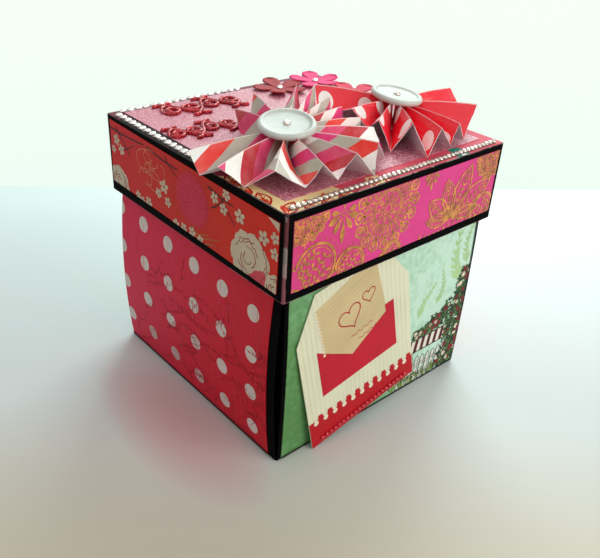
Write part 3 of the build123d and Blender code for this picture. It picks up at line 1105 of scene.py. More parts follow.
@dataclass
class BlossomRim:
    """Red paper with beige blossoms, peonies, dark twigs and a fine-lined chrysanthemum."""

    side: Side
    beige: Ink = ink("beige", (211, 193, 174), 3)
    shade: Ink = ink("beige_line", (150, 60, 52), 4)
    twig: Ink = ink("twig_dark", (62, 16, 18), 1)
    fine: Ink = ink("magenta_line", (216, 56, 100), 2)
    glow: Ink = ink("magenta_wash", (206, 36, 60), 1)
    pale: Ink = ink("pale_outline", (226, 150, 110), 2)
    gold: Ink = ink("gold_grass", (166, 112, 52), 2)
    blush: Ink = ink("pink_blush", (214, 74, 92), 4)

    def build(self) -> None:
        """Prints the panel."""
        design = Print(f"blossoms_{self.side.label}", rim_panel(self.side), "lid", "blossom_paper")
        self.add_chrysanthemum(design, (4.6, 1), 9.6)
        twigs = (
            ((-51, 9.4), (-40, 9.4), (-26, 10.4), 0.7),
            ((-46, 10.8), (-41, 6.8), (-36, 2.3), 0.6),
            ((-44, 2.8), (-39, 4.3), (-33, 7.8), 0.45),
            ((-24, 10.3), (-14, 9.2), (-4, 9), 0.7),
            ((-12, 11.3), (-9, 8.3), (-4.5, 6.2), 0.5),
            ((14, 10), (21, 8.8), (28, 8.4), 0.6),
            ((16, 3), (20, 5.8), (23, 9.4), 0.5),
            ((21, 8.8), (25, 5.2), (29, 2.2), 0.5),
        )
        for start, middle_point, end, width in twigs:
            design.stroke(bend([start, middle_point, end]), width * 1.25, self.twig, 0.6)
        self.add_outline_flower(design, (-22.5, 2.4), 10.2)
        for centre, size, spin in (
            ((-46, 5.8), 2.3, 10), ((-42.6, 2.8), 2.2, 40), ((-48.5, 1.3), 1.7, 70), ((-13, -0.8), 2.8, 15),
            ((-16.8, -4.8), 2.1, 50), ((-10.7, -6), 2.1, 0), ((-31.6, -11.4), 1.9, 30),
            ((-24, -11.4), 2.3, 60), ((-28.4, -12.4), 1.7, 0), ((-5.6, -12.3), 2.1, 20),
            ((-0.6, -11.8), 2.0, 55), ((4.6, -11.2), 2.2, 5), ((9.6, -12), 1.9, 35), ((17.8, 7.4), 2.2, 45),
            ((22.8, 5.4), 2.2, 10), ((24.2, 11), 2.2, 60), ((31.4, 6.4), 2.7, 25), ((43.6, 4.4), 2.7, 0),
            ((49, 6.6), 2.2, 40), ((49.2, 1.2), 2.3, 15),
        ):
            self.add_blossom(design, centre, size, spin)
        for start, middle_point, end in (
            ((4, -9.4), (9, -10.2), (15, -7.7)),
            ((7, -11.8), (14, -9.8), (21, -7.2)),
            ((10, -14), (15, -11.2), (19, -10.2)),
        ):
            design.stroke(bend([start, middle_point, end]), 0.6, self.gold, 0.3)
        self.add_peony(design, (-45.5, -11.8), 7.4, 12)
        self.add_peony(design, (37.2, -6.8), 10.4, 100)
        self.add_peony(design, (50, -12.2), 6.4, 60)
        corner = [(44.5, 12.8), (51, 12.8), (51, 9.2), (48, 11)]
        design.fill(corner, self.beige)
        design.lay()

    def add_blossom(self, design: Print, centre: Point, size: float, spin: float) -> None:
        """Draws one small blossom of five notched petals."""
        for petal in range(5):
            design.fill(turned(notched_petal(size, size * 0.62), centre, spin + petal * 72), self.beige)
        design.fill(disc(centre, size * 0.16, 8), self.shade)

    def add_outline_flower(self, design: Print, centre: Point, size: float) -> None:
        """Draws a loose flower in wavering outline only."""
        for off, reach, squash, spin in (
            ((-0.35, 0.2), 0.52, 0.8, 20),
            ((0.1, 0.42), 0.46, 0.7, 70),
            ((0.5, 0.1), 0.5, 0.75, 130),
            ((0.2, -0.35), 0.48, 0.8, 200),
            ((-0.3, -0.4), 0.44, 0.7, 260),
            ((0.0, 0.0), 0.3, 0.8, 0),
        ):
            lobe = []
            for x, y in arc((0, 0), reach, spin, 290, 22, squash):
                push = 1 + 0.16 * noise.noise(Vector((x * 6, y * 6, spin)))
                lobe.append((off[0] + x * push, off[1] + y * push))
            design.stroke(turned(lobe, centre, 0, size), 0.24, self.pale)

    def add_chrysanthemum(self, design: Print, centre: Point, size: float) -> None:
        """Draws a round flower of many fine-lined petals on a soft wash."""
        design.fill(disc(centre, size * 0.98, 36), self.glow)
        for start, end, count, width in (
            (0.56, 1.06, 20, 0.24),
            (0.3, 0.76, 15, 0.24),
            (0.1, 0.46, 10, 0.2),
            (0.0, 0.22, 6, 0.12),
        ):
            for petal in range(count):
                angle = (petal + 0.5 * (count % 2)) * 360 / count
                outline = [(start + x, y) for x, y in leaf(end - start, width, 7, 0.66)]
                design.loop(turned(outline, centre, angle, size), 0.24, self.fine)

    def add_peony(self, design: Print, centre: Point, size: float, spin: float) -> None:
        """Draws a full peony: a ragged beige head with red-brown petal lines and a blushing part."""
        outline = []
        for step in range(90):
            angle = math.radians(step * 4)
            lobe = 0.88 + 0.11 * abs(math.sin(angle * 3.5)) ** 0.6
            jag = 0.07 * noise.noise(Vector((math.cos(angle) * 7, math.sin(angle) * 7, spin)))
            outline.append(((lobe + jag) * math.cos(angle), (lobe + jag) * math.sin(angle)))
        design.fill(turned(outline, centre, spin, size), self.beige)
        for off, reach in (((0.5, -0.5), 0.36), ((0.2, -0.66), 0.26), ((0.68, -0.28), 0.22)):
            design.fill(turned(disc(off, reach, 14, 0.9), centre, 0, size * 0.9), self.blush)
        for start, sweep, reach, off in (
            (20, 230, 0.2, (0.05, 0.12)),
            (200, 170, 0.34, (0.1, 0.05)),
            (60, 150, 0.46, (-0.06, 0.0)),
            (-80, 120, 0.5, (0.1, 0.06)),
            (100, 100, 0.64, (0.0, -0.05)),
            (-30, 90, 0.7, (0.0, 0.05)),
            (190, 80, 0.72, (0.0, 0.0)),
            (250, 60, 0.84, (0.0, 0.0)),
        ):
            line = []
            for x, y in arc(off, reach, start, sweep, 20):
                push = 1 + 0.13 * noise.noise(Vector((x * 9, y * 9, reach * 5)))
                line.append((x * push, y * push))
            design.stroke(turned(line, centre, spin, size), 0.42, self.shade, 0.7)


@dataclass
class FoilRim:
    """Hot pink paper with gold foil mandalas, paisleys and sprays of leaves."""

    side: Side
    foil: Ink = Ink(GOLD_FOIL, 1)

    def build(self) -> None:
        """Prints the panel."""
        design = Print(f"foil_{self.side.label}", rim_panel(self.side), "lid", "foil_paper")
        for centre, size in (((-9.4, 5.4), 15.2), ((-46.4, 14), 10.4), ((46.8, 12), 9.6)):
            self.add_mandala(design, centre, size)
        for centre, size in (((-30.2, 9.6), 10.0), ((12.0, 12.2), 6.0)):
            self.add_drop(design, centre, size)
        for centre, size, spin, hand in (
            ((-41.0, -6.4), 10.6, 24, 1),
            ((-25.6, -10.6), 8.0, 40, 1),
            ((-5.0, -12.6), 5.0, 30, 1),
            ((45.0, -10.2), 8.4, 150, -1),
        ):
            self.add_paisley(design, centre, size, spin, hand)
        self.add_leaf_group(design, (26.0, -8.6))
        design.lay()

    def ring(self, design: Print, centre: Point, radius: float, width: float) -> None:
        """Draws a thin ring."""
        design.stroke(arc(centre, radius, 0, 360, 40), width, self.foil)

    def add_mandala(self, design: Print, centre: Point, size: float) -> None:
        """Draws a round flower of loops, beads and drops."""
        for start, length, count, width, line in (
            (0.7, 0.32, 16, 0.28, 0.8),
            (0.4, 0.3, 26, 0.09, 0.26),
            (0.16, 0.22, 10, 0.11, 0.32),
        ):
            for petal in range(count):
                angle = petal * 360 / count
                shape = [(x + start, y) for x, y in leaf(length, width, 7, 0.66)]
                design.loop(turned(shape, centre, angle, size), line, self.foil)
                core = [(x + start + length * 0.2, y) for x, y in leaf(length * 0.6, width * 0.42, 5, 0.66)]
                design.fill(turned(core, centre, angle, size), self.foil)
                between = [(x + start - 0.02, y) for x, y in leaf(length * 0.4, width * 0.3, 4, 0.6)]
                design.fill(turned(between, centre, angle + 180 / count, size), self.foil)
        for radius, width in ((0.1, 0.5), (0.15, 0.26), (0.4, 0.3), (0.44, 0.3), (0.7, 0.36)):
            self.ring(design, centre, size * radius, width)
        for bead in range(32):
            spot = turned(((0.67, 0),), centre, bead * 11.25, size)[0]
            design.fill(disc(spot, 0.26, 7), self.foil)

    def add_drop(self, design: Print, centre: Point, size: float) -> None:
        """Draws a hanging spray of drops with a long one at its foot."""
        for angle, length, width in (
            (-90, 1.0, 0.2),
            (-58, 0.66, 0.22),
            (-122, 0.66, 0.22),
            (-22, 0.6, 0.26),
            (202, 0.6, 0.26),
            (12, 0.46, 0.2),
            (168, 0.46, 0.2),
            (90, 0.42, 0.2),
        ):
            outer = [(x + 0.1, y) for x, y in leaf(length, width, 8, 0.66)]
            design.fill(turned(outer, centre, angle, size), self.foil)
        self.ring(design, centre, size * 0.09, 0.3)

    def add_paisley(self, design: Print, centre: Point, size: float, spin: float, hand: int) -> None:
        """Draws a paisley: a curled drop in double line with leafy stems inside.

        Args:
            design: The print that it joins.
            centre: Middle of its round end.
            size: Radius of its round end.
            spin: Turn in degrees.
            hand: 1 or -1, the way that its tip curls.
        """
        rim = arc((0, 0), 0.8, -150, 290, 36)
        tip = bend([rim[-1], (-1.0, 0.62), (-1.4, 0.34), (-1.34, 0.02), (-1.12, 0.12)], 5)
        back = bend([(-1.4, 0.34), (-1.08, 0.0), rim[0]], 5)
        inner = [(x * 0.84, y * 0.84) for x, y in rim]
        for line, width in ((rim + tip, 1.0), (back, 0.8), (inner, 0.3)):
            design.stroke(turned([(x, hand * y) for x, y in line], centre, spin, size), width, self.foil)
        for stem_spots in (
            ((-0.7, -0.2), (-0.2, -0.42), (0.34, -0.34)),
            ((-0.7, 0.16), (-0.3, 0.42), (0.2, 0.46)),
            ((-0.66, 0.0), (-0.1, 0.02), (0.52, 0.06)),
        ):
            stem = bend([(x, hand * y) for x, y in stem_spots], 5)
            design.stroke(turned(stem, centre, spin, size), 0.3, self.foil)
            for index, spot in enumerate(stem[1::2]):
                for turn in (-55, 55):
                    shape = leaf(0.24, 0.11, 5, 0.6)
                    moved = turned(shape, spot, turn + index * 8)
                    design.fill(turned(moved, centre, spin, size), self.foil)
        for step in range(15):
            spot = turned(((0.97, 0),), centre, spin - 120 + step * 18, size)[0]
            design.fill(disc(spot, 0.34, 7), self.foil)

    def add_leaf_group(self, design: Print, foot: Point) -> None:
        """Draws a spray of veined leaves rising from one curl."""
        design.stroke(turned(spiral(1.2, 3.0), (foot[0] - 2.2, foot[1] + 3.6), 40), 0.9, self.foil, 0.6)
        for angle, length, width in (
            (66, 21.0, 8.6),
            (26, 24.0, 8.6),
            (106, 17.0, 7.0),
            (144, 17.0, 7.6),
            (172, 14.0, 5.6),
            (2, 16.0, 5.0),
        ):
            outline = leaf(length, width, 12, 0.55)
            design.loop(turned(outline, foot, angle), 0.7, self.foil)
            inner = [(x * 0.84 + length * 0.07, y * 0.62) for x, y in outline]
            design.loop(turned(inner, foot, angle), 0.26, self.foil)
            design.stroke(turned([(length * 0.1, 0), (length * 0.9, 0)], foot, angle), 0.4, self.foil, 0.4)
            for step in range(2, 9):
                for turn in (-42, 42):
                    vein = leaf(width * 0.22, 0.7, 5, 0.6)
                    spot = (length * step / 10, 0.0)
                    design.fill(turned(turned(vein, spot, turn), foot, angle), self.foil)
        for step in range(14):
            spot = (foot[0] - 16 + step * 2.6, foot[1] - 2.0 - 1.0 * math.sin(step * 0.6))
            design.fill(turned(leaf(2.2, 0.9, 5, 0.6), spot, 250 + step * 4), self.foil)


@dataclass
class Relief:
    """Rounded ribbon of glitter along a path on a flat face."""

    height: float
    width: float
    ring: int = 9
    rough: float = 0.12

    def mesh(self, name: str, paths: Sequence[Sequence[Point]], level: float) -> bpy.types.Mesh:
        """Builds the ribbon's mesh.

        Args:
            name: Name of the mesh.
            paths: Paths on the face, in millimetres.
            level: Height of the face.

        Returns:
            The mesh, in metres.
        """
        points: list[Vector] = []
        faces: list[tuple[int, ...]] = []
        ring = self.ring
        for path in paths:
            start = len(points)
            for index, point in enumerate(path):
                before = path[max(index - 1, 0)]
                after = path[min(index + 1, len(path) - 1)]
                run = Vector((after[0] - before[0], after[1] - before[1], 0)).normalized()
                across = Vector((-run.y, run.x, 0))
                end = min(index, len(path) - 1 - index)
                swell = min(1.0, 0.35 + 0.35 * end)
                swell *= 1 + self.rough * noise.noise(Vector((*point, 0)) * 0.9)
                for step in range(ring):
                    angle = math.pi * step / (ring - 1)
                    off = across * (math.cos(angle) * self.width / 2 * swell)
                    rise = math.sin(angle) ** 0.7 * self.height * swell
                    points.append((Vector((*point, level + rise)) + off) * MM)
            for index in range(len(path) - 1):
                for step in range(ring - 1):
                    low = start + index * ring + step
                    faces.append((low, low + 1, low + ring + 1, low + ring))
                low = start + index * ring
                faces.append((low + ring - 1, low, low + ring, low + 2 * ring - 1))
            faces.append(tuple(range(start, start + ring)))
            last = start + (len(path) - 1) * ring
            faces.append(tuple(range(last + ring - 1, last - 1, -1)))
        return make_mesh(name, points, faces, smooth=True)


@dataclass
class Scrolls:
    """Two flourishes of red glitter in place of any wording."""

    relief: Relief = field(default_factory=lambda: Relief(1.3, 1.6))
    places: dict[str, tuple[Point, float]] = field(
        default_factory=lambda: {"upper": ((-19.0, 40.0), 9.0), "lower": ((-33.5, 17.5), 7.2)}
    )

    def build(self) -> None:
        """Lays both flourishes on the glitter paper."""
        for name, (centre, size) in self.places.items():
            mesh = self.relief.mesh(f"flourish_{name}", self.paths(centre, size), SIZES.mat_top)
            add_piece(mesh, "lid", (RED_GLITTER,), f"scroll_{name}")

    def paths(self, centre: Point, size: float) -> list[list[Point]]:
        """Paths of one flourish: a running vine whose hollows hold coils, with a bud on each crest."""
        found = [[(x / 10, 0.62 * math.sin(math.pi * x / 10)) for x in range(-20, 21)]]
        for index in range(4):
            crest = index - 1.5
            up = 1 if index % 2 == 0 else -1
            coil = []
            for step in range(25):
                share = step / 24
                angle = math.radians(180 + up * 450 * share)
                reach = 0.44 * (1 - 0.74 * share)
                coil.append((crest + reach * math.cos(angle), up * 0.04 + reach * math.sin(angle)))
            found.append(coil)
            for lean in (-1, 1):
                bud = bend([(0, 0), (lean * 0.1, 0.2), (lean * 0.34, 0.3), (lean * 0.4, 0.16)], 5)
                found.append([(crest + x, up * (0.62 + y)) for x, y in bud])
        return [[(centre[0] + x * size, centre[1] + y * size) for x, y in path] for path in found]


@dataclass
class Rosette:
    """Strip of printed paper folded to and fro by hand and fanned out about a hub.

    Each fold is an angle in degrees, a reach in millimetres and a height over the lid's glitter paper. The
    first fold is a valley and every second one a ridge.
    """

    name: str
    hub: Point
    front: FoldedPaper
    folds: tuple[tuple[float, float, float], ...]
    hub_low: float = 0.6
    hub_high: float = 9.6
    slope: Point = (0.0, 0.0)
    strip_width: float = 30.0
    hub_radius: float = 3.0
    across: int = 4
    along: int = 10
    crumple: float = 0.2
    belly: float = 0.7
    thickness: float = 0.22

    def build(self) -> None:
        """Folds the strip and puts it in place of the plain one."""
        points: list[Vector] = []
        marks: list[Point] = []
        columns = (len(self.folds) - 1) * self.across
        for column in range(columns + 1):
            fold = min(column // self.across, len(self.folds) - 2)
            share = column / self.across - fold
            edge = 1 - abs(2 * share - 1)
            for row in range(self.along + 1):
                reach = row / self.along
                place = self.fold_point(fold, reach).lerp(self.fold_point(fold + 1, reach), share)
                wave = noise.noise_vector(Vector((column * 0.37, row * 0.55, self.hub[0]))) * self.crumple
                points.append((place + wave * (0.5 + 2.2 * edge) * (0.2 + reach)) * MM)
                marks.append((column * self.front.strip / self.across, reach * self.strip_width))
        faces = []
        for column in range(columns):
            for row in range(self.along):
                low = column * (self.along + 1) + row
                faces.append((low, low + 1, low + self.along + 2, low + self.along + 1))
        mesh = make_mesh(f"folded_rosette_{self.name}", points, faces)
        sheet = mesh.uv_layers.new(name="sheet")
        for loop in mesh.loops:
            sheet.data[loop.index].uv = marks[loop.vertex_index]
        papers = (self.front, WHITE_PAPER)
        piece = add_piece(mesh, "lid", papers, f"rosette_{self.name}")
        solid = thicken(piece, self.thickness, 1)
        solid.material_offset = 1
        solid.material_offset_rim = 1

    def fold_point(self, fold: int, share: float) -> Vector:
        """Point on a fold line, from the hub at 0 to the rim at 1, in millimetres."""
        angle, reach, height = self.folds[fold]
        ridge = fold % 2 == 1
        heading = Vector((math.cos(math.radians(angle)), math.sin(math.radians(angle)), 0))
        near = heading * self.hub_radius
        near.z = self.hub_high if ridge else self.hub_low
        near.z += near.x * self.slope[0] + near.y * self.slope[1]
        far = heading * reach
        far.z = height
        belly = self.belly * math.sin(math.pi * share) * (1 if ridge else 0)
        return Vector((*self.hub, SIZES.mat_top + belly)) + near.lerp(far, share)


@dataclass
class Lathe:
    """Turned form about an axis, with each profile point a radius and a height."""

    profile: Sequence[Point]
    steps: int = 72

    def mesh(self, name: str, place: Matrix) -> bpy.types.Mesh:
        """Builds the turned mesh at a place given in millimetres."""
        points = []
        faces = []
        count = len(self.profile)
        for step in range(self.steps):
            turn = FULL_TURN * step / self.steps
            for radius, height in self.profile:
                spot = Vector((radius * math.cos(turn), radius * math.sin(turn), height))
                points.append((place @ spot) * MM)
        for step in range(self.steps):
            after = (step + 1) % self.steps
            for index in range(count - 1):
                low = step * count + index
                high = after * count + index
                faces.append((low, high, high + 1, low + 1))
        faces.append(tuple(step * count for step in reversed(range(self.steps))))
        faces.append(tuple(step * count + count - 1 for step in range(self.steps)))
        mesh = make_mesh(name, points, faces)
        mesh.polygons.foreach_set("use_smooth", [len(face) == 4 for face in faces])
        return mesh


# Rings of a cut stone from its foot to its table: radius and height as shares, and twist in facets.
STONE_RINGS = ((0.9, 0.0, 0.0), (1.0, 0.35, 0.0), (0.8, 0.75, 0.5), (0.5, 1.0, 0.0))


@dataclass
class Stones:
    """Faceted stones gathered into one mesh."""

    sides: int = 8
    points: list[Vector] = field(default_factory=list)
    faces: list[list[int]] = field(default_factory=list)

    def cut(self, place: Matrix, radius: float, height: float) -> None:
        """Adds one stone.

        Args:
            place: Where the stone's foot stands, in millimetres.
            radius: Its radius at the girdle.
            height: Its height.
        """
        start = len(self.points)
        for reach, level, twist in STONE_RINGS:
            ring = radius * reach
            for side in range(self.sides):
                turn = FULL_TURN * (side + twist) / self.sides
                spot = Vector((ring * math.cos(turn), ring * math.sin(turn), height * level))
                self.points.append(place @ spot * MM)
        for ring in range(len(STONE_RINGS) - 1):
            low = start + ring * self.sides
            high = low + self.sides
            for side in range(self.sides):
                after = (side + 1) % self.sides
                if ring == 0:
                    self.faces.append([low + side, low + after, high + after, high + side])
                elif ring == 1:
                    self.faces.append([low + side, low + after, high + side])
                    self.faces.append([low + after, high + after, high + side])
                else:
                    self.faces.append([low + side, low + after, high + after])
                    self.faces.append([low + side, high + after, high + side])
        self.faces.append([high + side for side in range(self.sides)])
        self.faces.append([start + side for side in reversed(range(self.sides))])


def set_stone(name: str, node: str, place: Matrix, radius: float, height: float, finish: Finish) -> None:
    """Sets one stone on the lid in place of a plain one.

    Args:
        name: Name of the piece.
        node: Node that it replaces.
        place: Where its foot stands, in millimetres.
        radius: Its radius at the girdle.
        height: Its height.
        finish: Its finish.
    """
    stones = Stones()
    stones.cut(place, radius, height)
    add_piece(make_mesh(name, stones.points, stones.faces), "lid", (finish,), node)


@dataclass
class StoneRow:
    """Row of faceted stones on a narrow band along a line."""

    name: str
    node: str
    body: str
    start: Vector
    along: Vector
    normal: Vector
    count: int
    pitch: float
    radius: float
    height: float
    stone: Finish
    cup: Finish
    slot: str
    band: float = 0.3
    band_share: float = 0.92
    lean: float = 0.12
    most_spin: float = 45.0

    def build(self) -> None:
        """Sets the stones and puts them in place of the plain strip."""
        stones = Stones()
        points = stones.points
        faces = stones.faces
        across = self.normal.cross(self.along)
        frame = Matrix((self.along, across, self.normal)).transposed()
        rng = random.Random(len(self.name) + self.count)
        for index in range(self.count):
            spot = self.start + self.along * (index * self.pitch)
            spin = math.radians(rng.uniform(0, self.most_spin))
            tilts = [rng.uniform(-self.lean, self.lean) for _ in range(2)]
            lean = Vector((*tilts, 1)).normalized()
            tip = lean.to_track_quat("Z", "Y").to_matrix() @ Matrix.Rotation(spin, 3, "Z")
            place = Matrix.Translation(spot + self.normal * self.band) @ (frame @ tip).to_4x4()
            stones.cut(place, self.radius, self.height)
        facets = len(faces)
        half_row = (self.count - 1) * self.pitch / 2
        middle = self.start + self.along * half_row
        reach = half_row + self.radius
        half_band = self.radius * self.band_share
        first = len(points)
        for level in (0.0, self.band):
            for x, y in ((-1, -1), (1, -1), (1, 1), (-1, 1)):
                corner = middle + self.along * (x * reach) + across * (y * half_band)
                points.append((corner + self.normal * level) * MM)
        faces += [[first + 3, first + 2, first + 1, first], [first + 4, first + 5, first + 6, first + 7]]
        for side in range(4):
            after = (side + 1) % 4
            faces.append([first + side, first + after, first + 4 + after, first + 4 + side])
        mesh = make_mesh(self.name, points, faces)
        mesh.polygons.foreach_set("material_index", [0] * facets + [1] * (len(faces) - facets))
        add_piece(mesh, self.body, (self.stone, self.cup), self.node)


@dataclass
class Button:
    """White button with a rounded rim, a shallow dish and a small stone at its middle."""

    name: str
    centre: Vector
    normal: Vector
    radius: float = 10.0
    rim: float = 1.2
    dish: tuple[Point, ...] = ((8.4, 2.3), (8.1, 2.0), (7.7, 1.72), (7.2, 1.62), (4.0, 1.56), (0.02, 1.54))
    stone_seat: float = 1.55
    stone_radius: float = 1.4
    stone_height: float = 0.9

    def build(self) -> None:
        """Turns the button and sets its stone."""
        place = Matrix.Translation(self.centre) @ self.normal.to_track_quat("Z", "Y").to_matrix().to_4x4()
        edge = arc((self.radius - self.rim, self.rim), self.rim, -90, 180, 12)
        profile = [(self.dish[-1][0], 0.0), *edge, *self.dish]
        mesh = Lathe(profile).mesh(f"turned_button_{self.name}", place)
        add_piece(mesh, "lid", (BUTTON_WHITE,), f"button_{self.name}")
        seat = place @ Matrix.Translation((0, 0, self.stone_seat))
        name = f"button_stone_{self.name}"
        set_stone(name, f"button_gem_{self.name}", seat, self.stone_radius, self.stone_height, DULL_STONE)


@dataclass
class Flower:
    """Die-cut flower with round, slightly upswept petals and a stone at its heart."""

    name: str
    centre: Point
    turn: float
    finish: Finish
    petals: int = 5
    reach: float = 11.4
    width: float = 7.8
    rise: float = 0.9
    cup: float = 0.5
    wave: float = 0.25
    heart: float = 0.64
    rows: int = 12
    columns: int = 6
    thickness: float = 0.45
    stone_radius: float = 1.45
    stone_height: float = 1.2

    def build(self) -> None:
        """Cuts the flower and sets its stone."""
        points: list[Vector] = []
        faces: list[list[int]] = []
        for petal in range(self.petals):
            start = len(points)
            points += self.petal_points(petal)
            for row in range(self.rows):
                for column in range(self.columns):
                    low = start + row * (self.columns + 1) + column
                    faces.append([low, low + self.columns + 1, low + self.columns + 2, low + 1])
        mesh = make_mesh(f"petals_{self.name}", points, faces, smooth=True)
        piece = add_piece(mesh, "lid", (self.finish,), f"flower_{self.name}")
        thicken(piece, self.thickness, -1)
        seat = Matrix.Translation((*self.centre, SIZES.mat_top + self.thickness))
        name = f"flower_stone_{self.name}"
        set_stone(name, f"flower_gem_{self.name}", seat, self.stone_radius, self.stone_height, CLEAR_STONE)

    def petal_points(self, petal: int) -> list[Vector]:
        """Points of one petal, row by row from the heart to its tip, in metres."""
        found = []
        angle = math.radians(self.turn + petal * 360 / self.petals)
        lift = 0.5 * (petal % 2)
        for row in range(self.rows + 1):
            share = row / self.rows
            along = self.heart + (self.reach - self.heart) * share
            half = self.width / 2 * min(0.3 + share, 1.0) * math.sqrt(1 - share**6) + 0.1
            for column in range(self.columns + 1):
                side = column / self.columns * 2 - 1
                level = self.rise * share**1.4 + self.cup * side**2 * share + lift * share
                level += self.wave * math.sin(3.2 * share + petal) * share
                x = along * math.cos(angle) - side * half * math.sin(angle)
                y = along * math.sin(angle) + side * half * math.cos(angle)
                height = SIZES.mat_top + self.thickness + level
                found.append(Vector((self.centre[0] + x, self.centre[1] + y, height)) * MM)
        return found


@dataclass
class StandingCard:
    """Cream card with a drawn envelope, a ruled letter with hearts and a red strip torn from a spiral."""

    width: float = 55.5
    shoulder: float = 50.5
    height: float = 67.5
    turn: float = 11.0
    lean: float = 2.0
    corner_inset: float = 15.1
    chamfer: float = 58.0
    thickness: float = 0.4
    clearance: float = 0.1
    line_pitch: float = 2.2
    stones: int = 22
    stone_pitch: float = 2.15
    stone_level: float = 2.4
    letter_lines: int = 13
    punches: int = 13
    bites: int = 11
    strip_left: float = 12.8
    strip_right: float = 9.6
    line: Ink = ink("cream_line", (225, 226, 201), 0)
    kraft: Ink = ink("kraft", (214, 194, 152), 1)
    kraft_line: Ink = ink("kraft_line", (196, 174, 130), 2)
    envelope: Ink = ink("envelope_crimson", (196, 20, 48), 3)
    heart: Ink = ink("heart_red", (176, 46, 48), 3)
    strip: Ink = ink("strip_red", (190, 16, 32), 3)
    bite: Ink = ink("bite_cream", (238, 230, 210), 4)

    def frame(self) -> tuple[Vector, Vector, Vector]:
        """Returns the front face's lower left corner and its right and up vectors."""
        turn = math.radians(self.turn)
        lean = math.radians(self.lean)
        half_top = self.width / 2 - (self.height - self.shoulder) / math.tan(math.radians(self.chamfer))
        reach = (self.width / 2 + half_top) * math.sin(turn) + self.height * math.cos(turn)
        foot = SIZES.outer_half + SIZES.paper + self.clearance + reach * math.tan(lean)
        slope = Vector((0, math.sin(lean), math.cos(lean)))
        across = Vector((1, 0, 0))
        right = across * math.cos(turn) + slope * math.sin(turn)
        up = slope * math.cos(turn) - across * math.sin(turn)
        corner = Vector((self.corner_inset - SIZES.outer_half, -foot, 0))
        return corner + across.cross(slope) * self.thickness, right, up

    def build(self) -> None:
        """Prints the card and sets its row of stones."""
        corner, right, up = self.frame()
        panel = Panel(corner, right, up, (0, 0, self.width, self.height))
        design = Print("card_print", panel, "box", "cream_card")
        inset = (self.height - self.shoulder) / math.tan(math.radians(self.chamfer))
        for index in range(1, int(self.width / self.line_pitch)):
            u = index * self.line_pitch
            cut = max(inset - min(u, self.width - u), 0) * math.tan(math.radians(self.chamfer))
            design.stroke([(u, 0.3), (u, self.height - cut - 0.5)], 0.5, self.line)
        self.add_letter(design)
        self.add_envelope(design)
        self.add_strip(design)
        design.lay()
        half_row = (self.stones - 1) * self.stone_pitch / 2
        start = corner + right * (self.width / 2 - half_row) + up * self.stone_level
        StoneRow(
            name="card_stones",
            node="card_gems",
            body="box",
            slot="red_stone",
            start=start,
            along=right,
            normal=right.cross(up),
            count=self.stones,
            pitch=self.stone_pitch,
            radius=1.05,
            height=1.0,
            stone=RED_STONE,
            cup=RED_STONE,
            band=0.12,
        ).build()

    def add_letter(self, design: Print) -> None:
        """Draws the ruled kraft letter with its punched edge, two hearts and two wavy lines."""
        low = Vector((11.6, 36.0))
        high = Vector((9.6, 60.6))
        right = Vector((43.4, 38.0))
        far = Vector((39.6, 63.4))
        letter = [low, Vector((24.0, 31.0)), right, far, Vector((31.5, 66.2)), high]
        design.fill([tuple(corner) for corner in letter], self.kraft)
        for index in range(1, self.letter_lines):
            share = index / self.letter_lines
            start = low.lerp(high, share) + Vector((1.4, 0))
            end = right.lerp(far, min(share + 0.16, 1.0))
            design.stroke([tuple(start), tuple(end)], 0.2, self.kraft_line)
        for index in range(self.punches):
            spot = low.lerp(high, (index + 2.4) / (self.punches + 2))
            design.fill(disc(tuple(spot), 0.62, 9), self.bite)
        outline = []
        for step in range(32):
            angle = FULL_TURN * step / 32
            x = 16 * math.sin(angle) ** 3
            y = 13 * math.cos(angle) - 5 * math.cos(2 * angle) - 2 * math.cos(3 * angle) - math.cos(4 * angle)
            outline.append((x, y))
        for centre, spin, size, width in (((25.0, 49.0), 14, 0.34, 0.55), ((34.6, 53.2), 4, 0.2, 0.45)):
            design.loop(turned(outline, centre, spin, size), width, self.heart)
        wave = [(step * 0.6, step * 0.07 + 0.45 * math.sin(step * 1.3)) for step in range(20)]
        for foot in ((24.5, 39.6), (27.5, 36.6)):
            design.stroke(turned(wave, foot, 0), 0.32, self.heart)

    def add_envelope(self, design: Print) -> None:
        """Draws the crimson envelope whose mouth opens in a V."""
        mouth = [(46.8, 43.8), (42.0, 43.8), (42.4, 40.6), (24.2, 31.8), (10.6, 41.4), (8.0, 43.4)]
        design.fill([(8.2, 21.8), (47.2, 21.4), *mouth], self.envelope)

    def add_strip(self, design: Print) -> None:
        """Draws the red strip with its row of torn spiral holes."""
        left = self.strip_left
        right = self.strip_right
        design.fill([(0, 0), (self.width, 0), (self.width, right), (0, left)], self.strip)
        pitch = (self.width - 3.0) / self.bites
        tooth = [(1.0, -0.1), (pitch - 1.0, -0.3), (pitch - 1.4, 1.5), (1.4, 1.8)]
        slit = [(-0.4, -1.2), (0.5, -1.2), (0.7, 0.4), (-0.7, 0.4)]
        for index in range(self.bites):
            u = 2.2 + (index + 0.25) * pitch
            edge = left + (right - left) * u / self.width
            design.fill(turned(tooth, (u, edge), 0), self.strip)
            design.fill(disc((u, edge - 1.3), 1.15, 14), self.bite)
            design.fill(turned(slit, (u, edge), 0), self.bite)


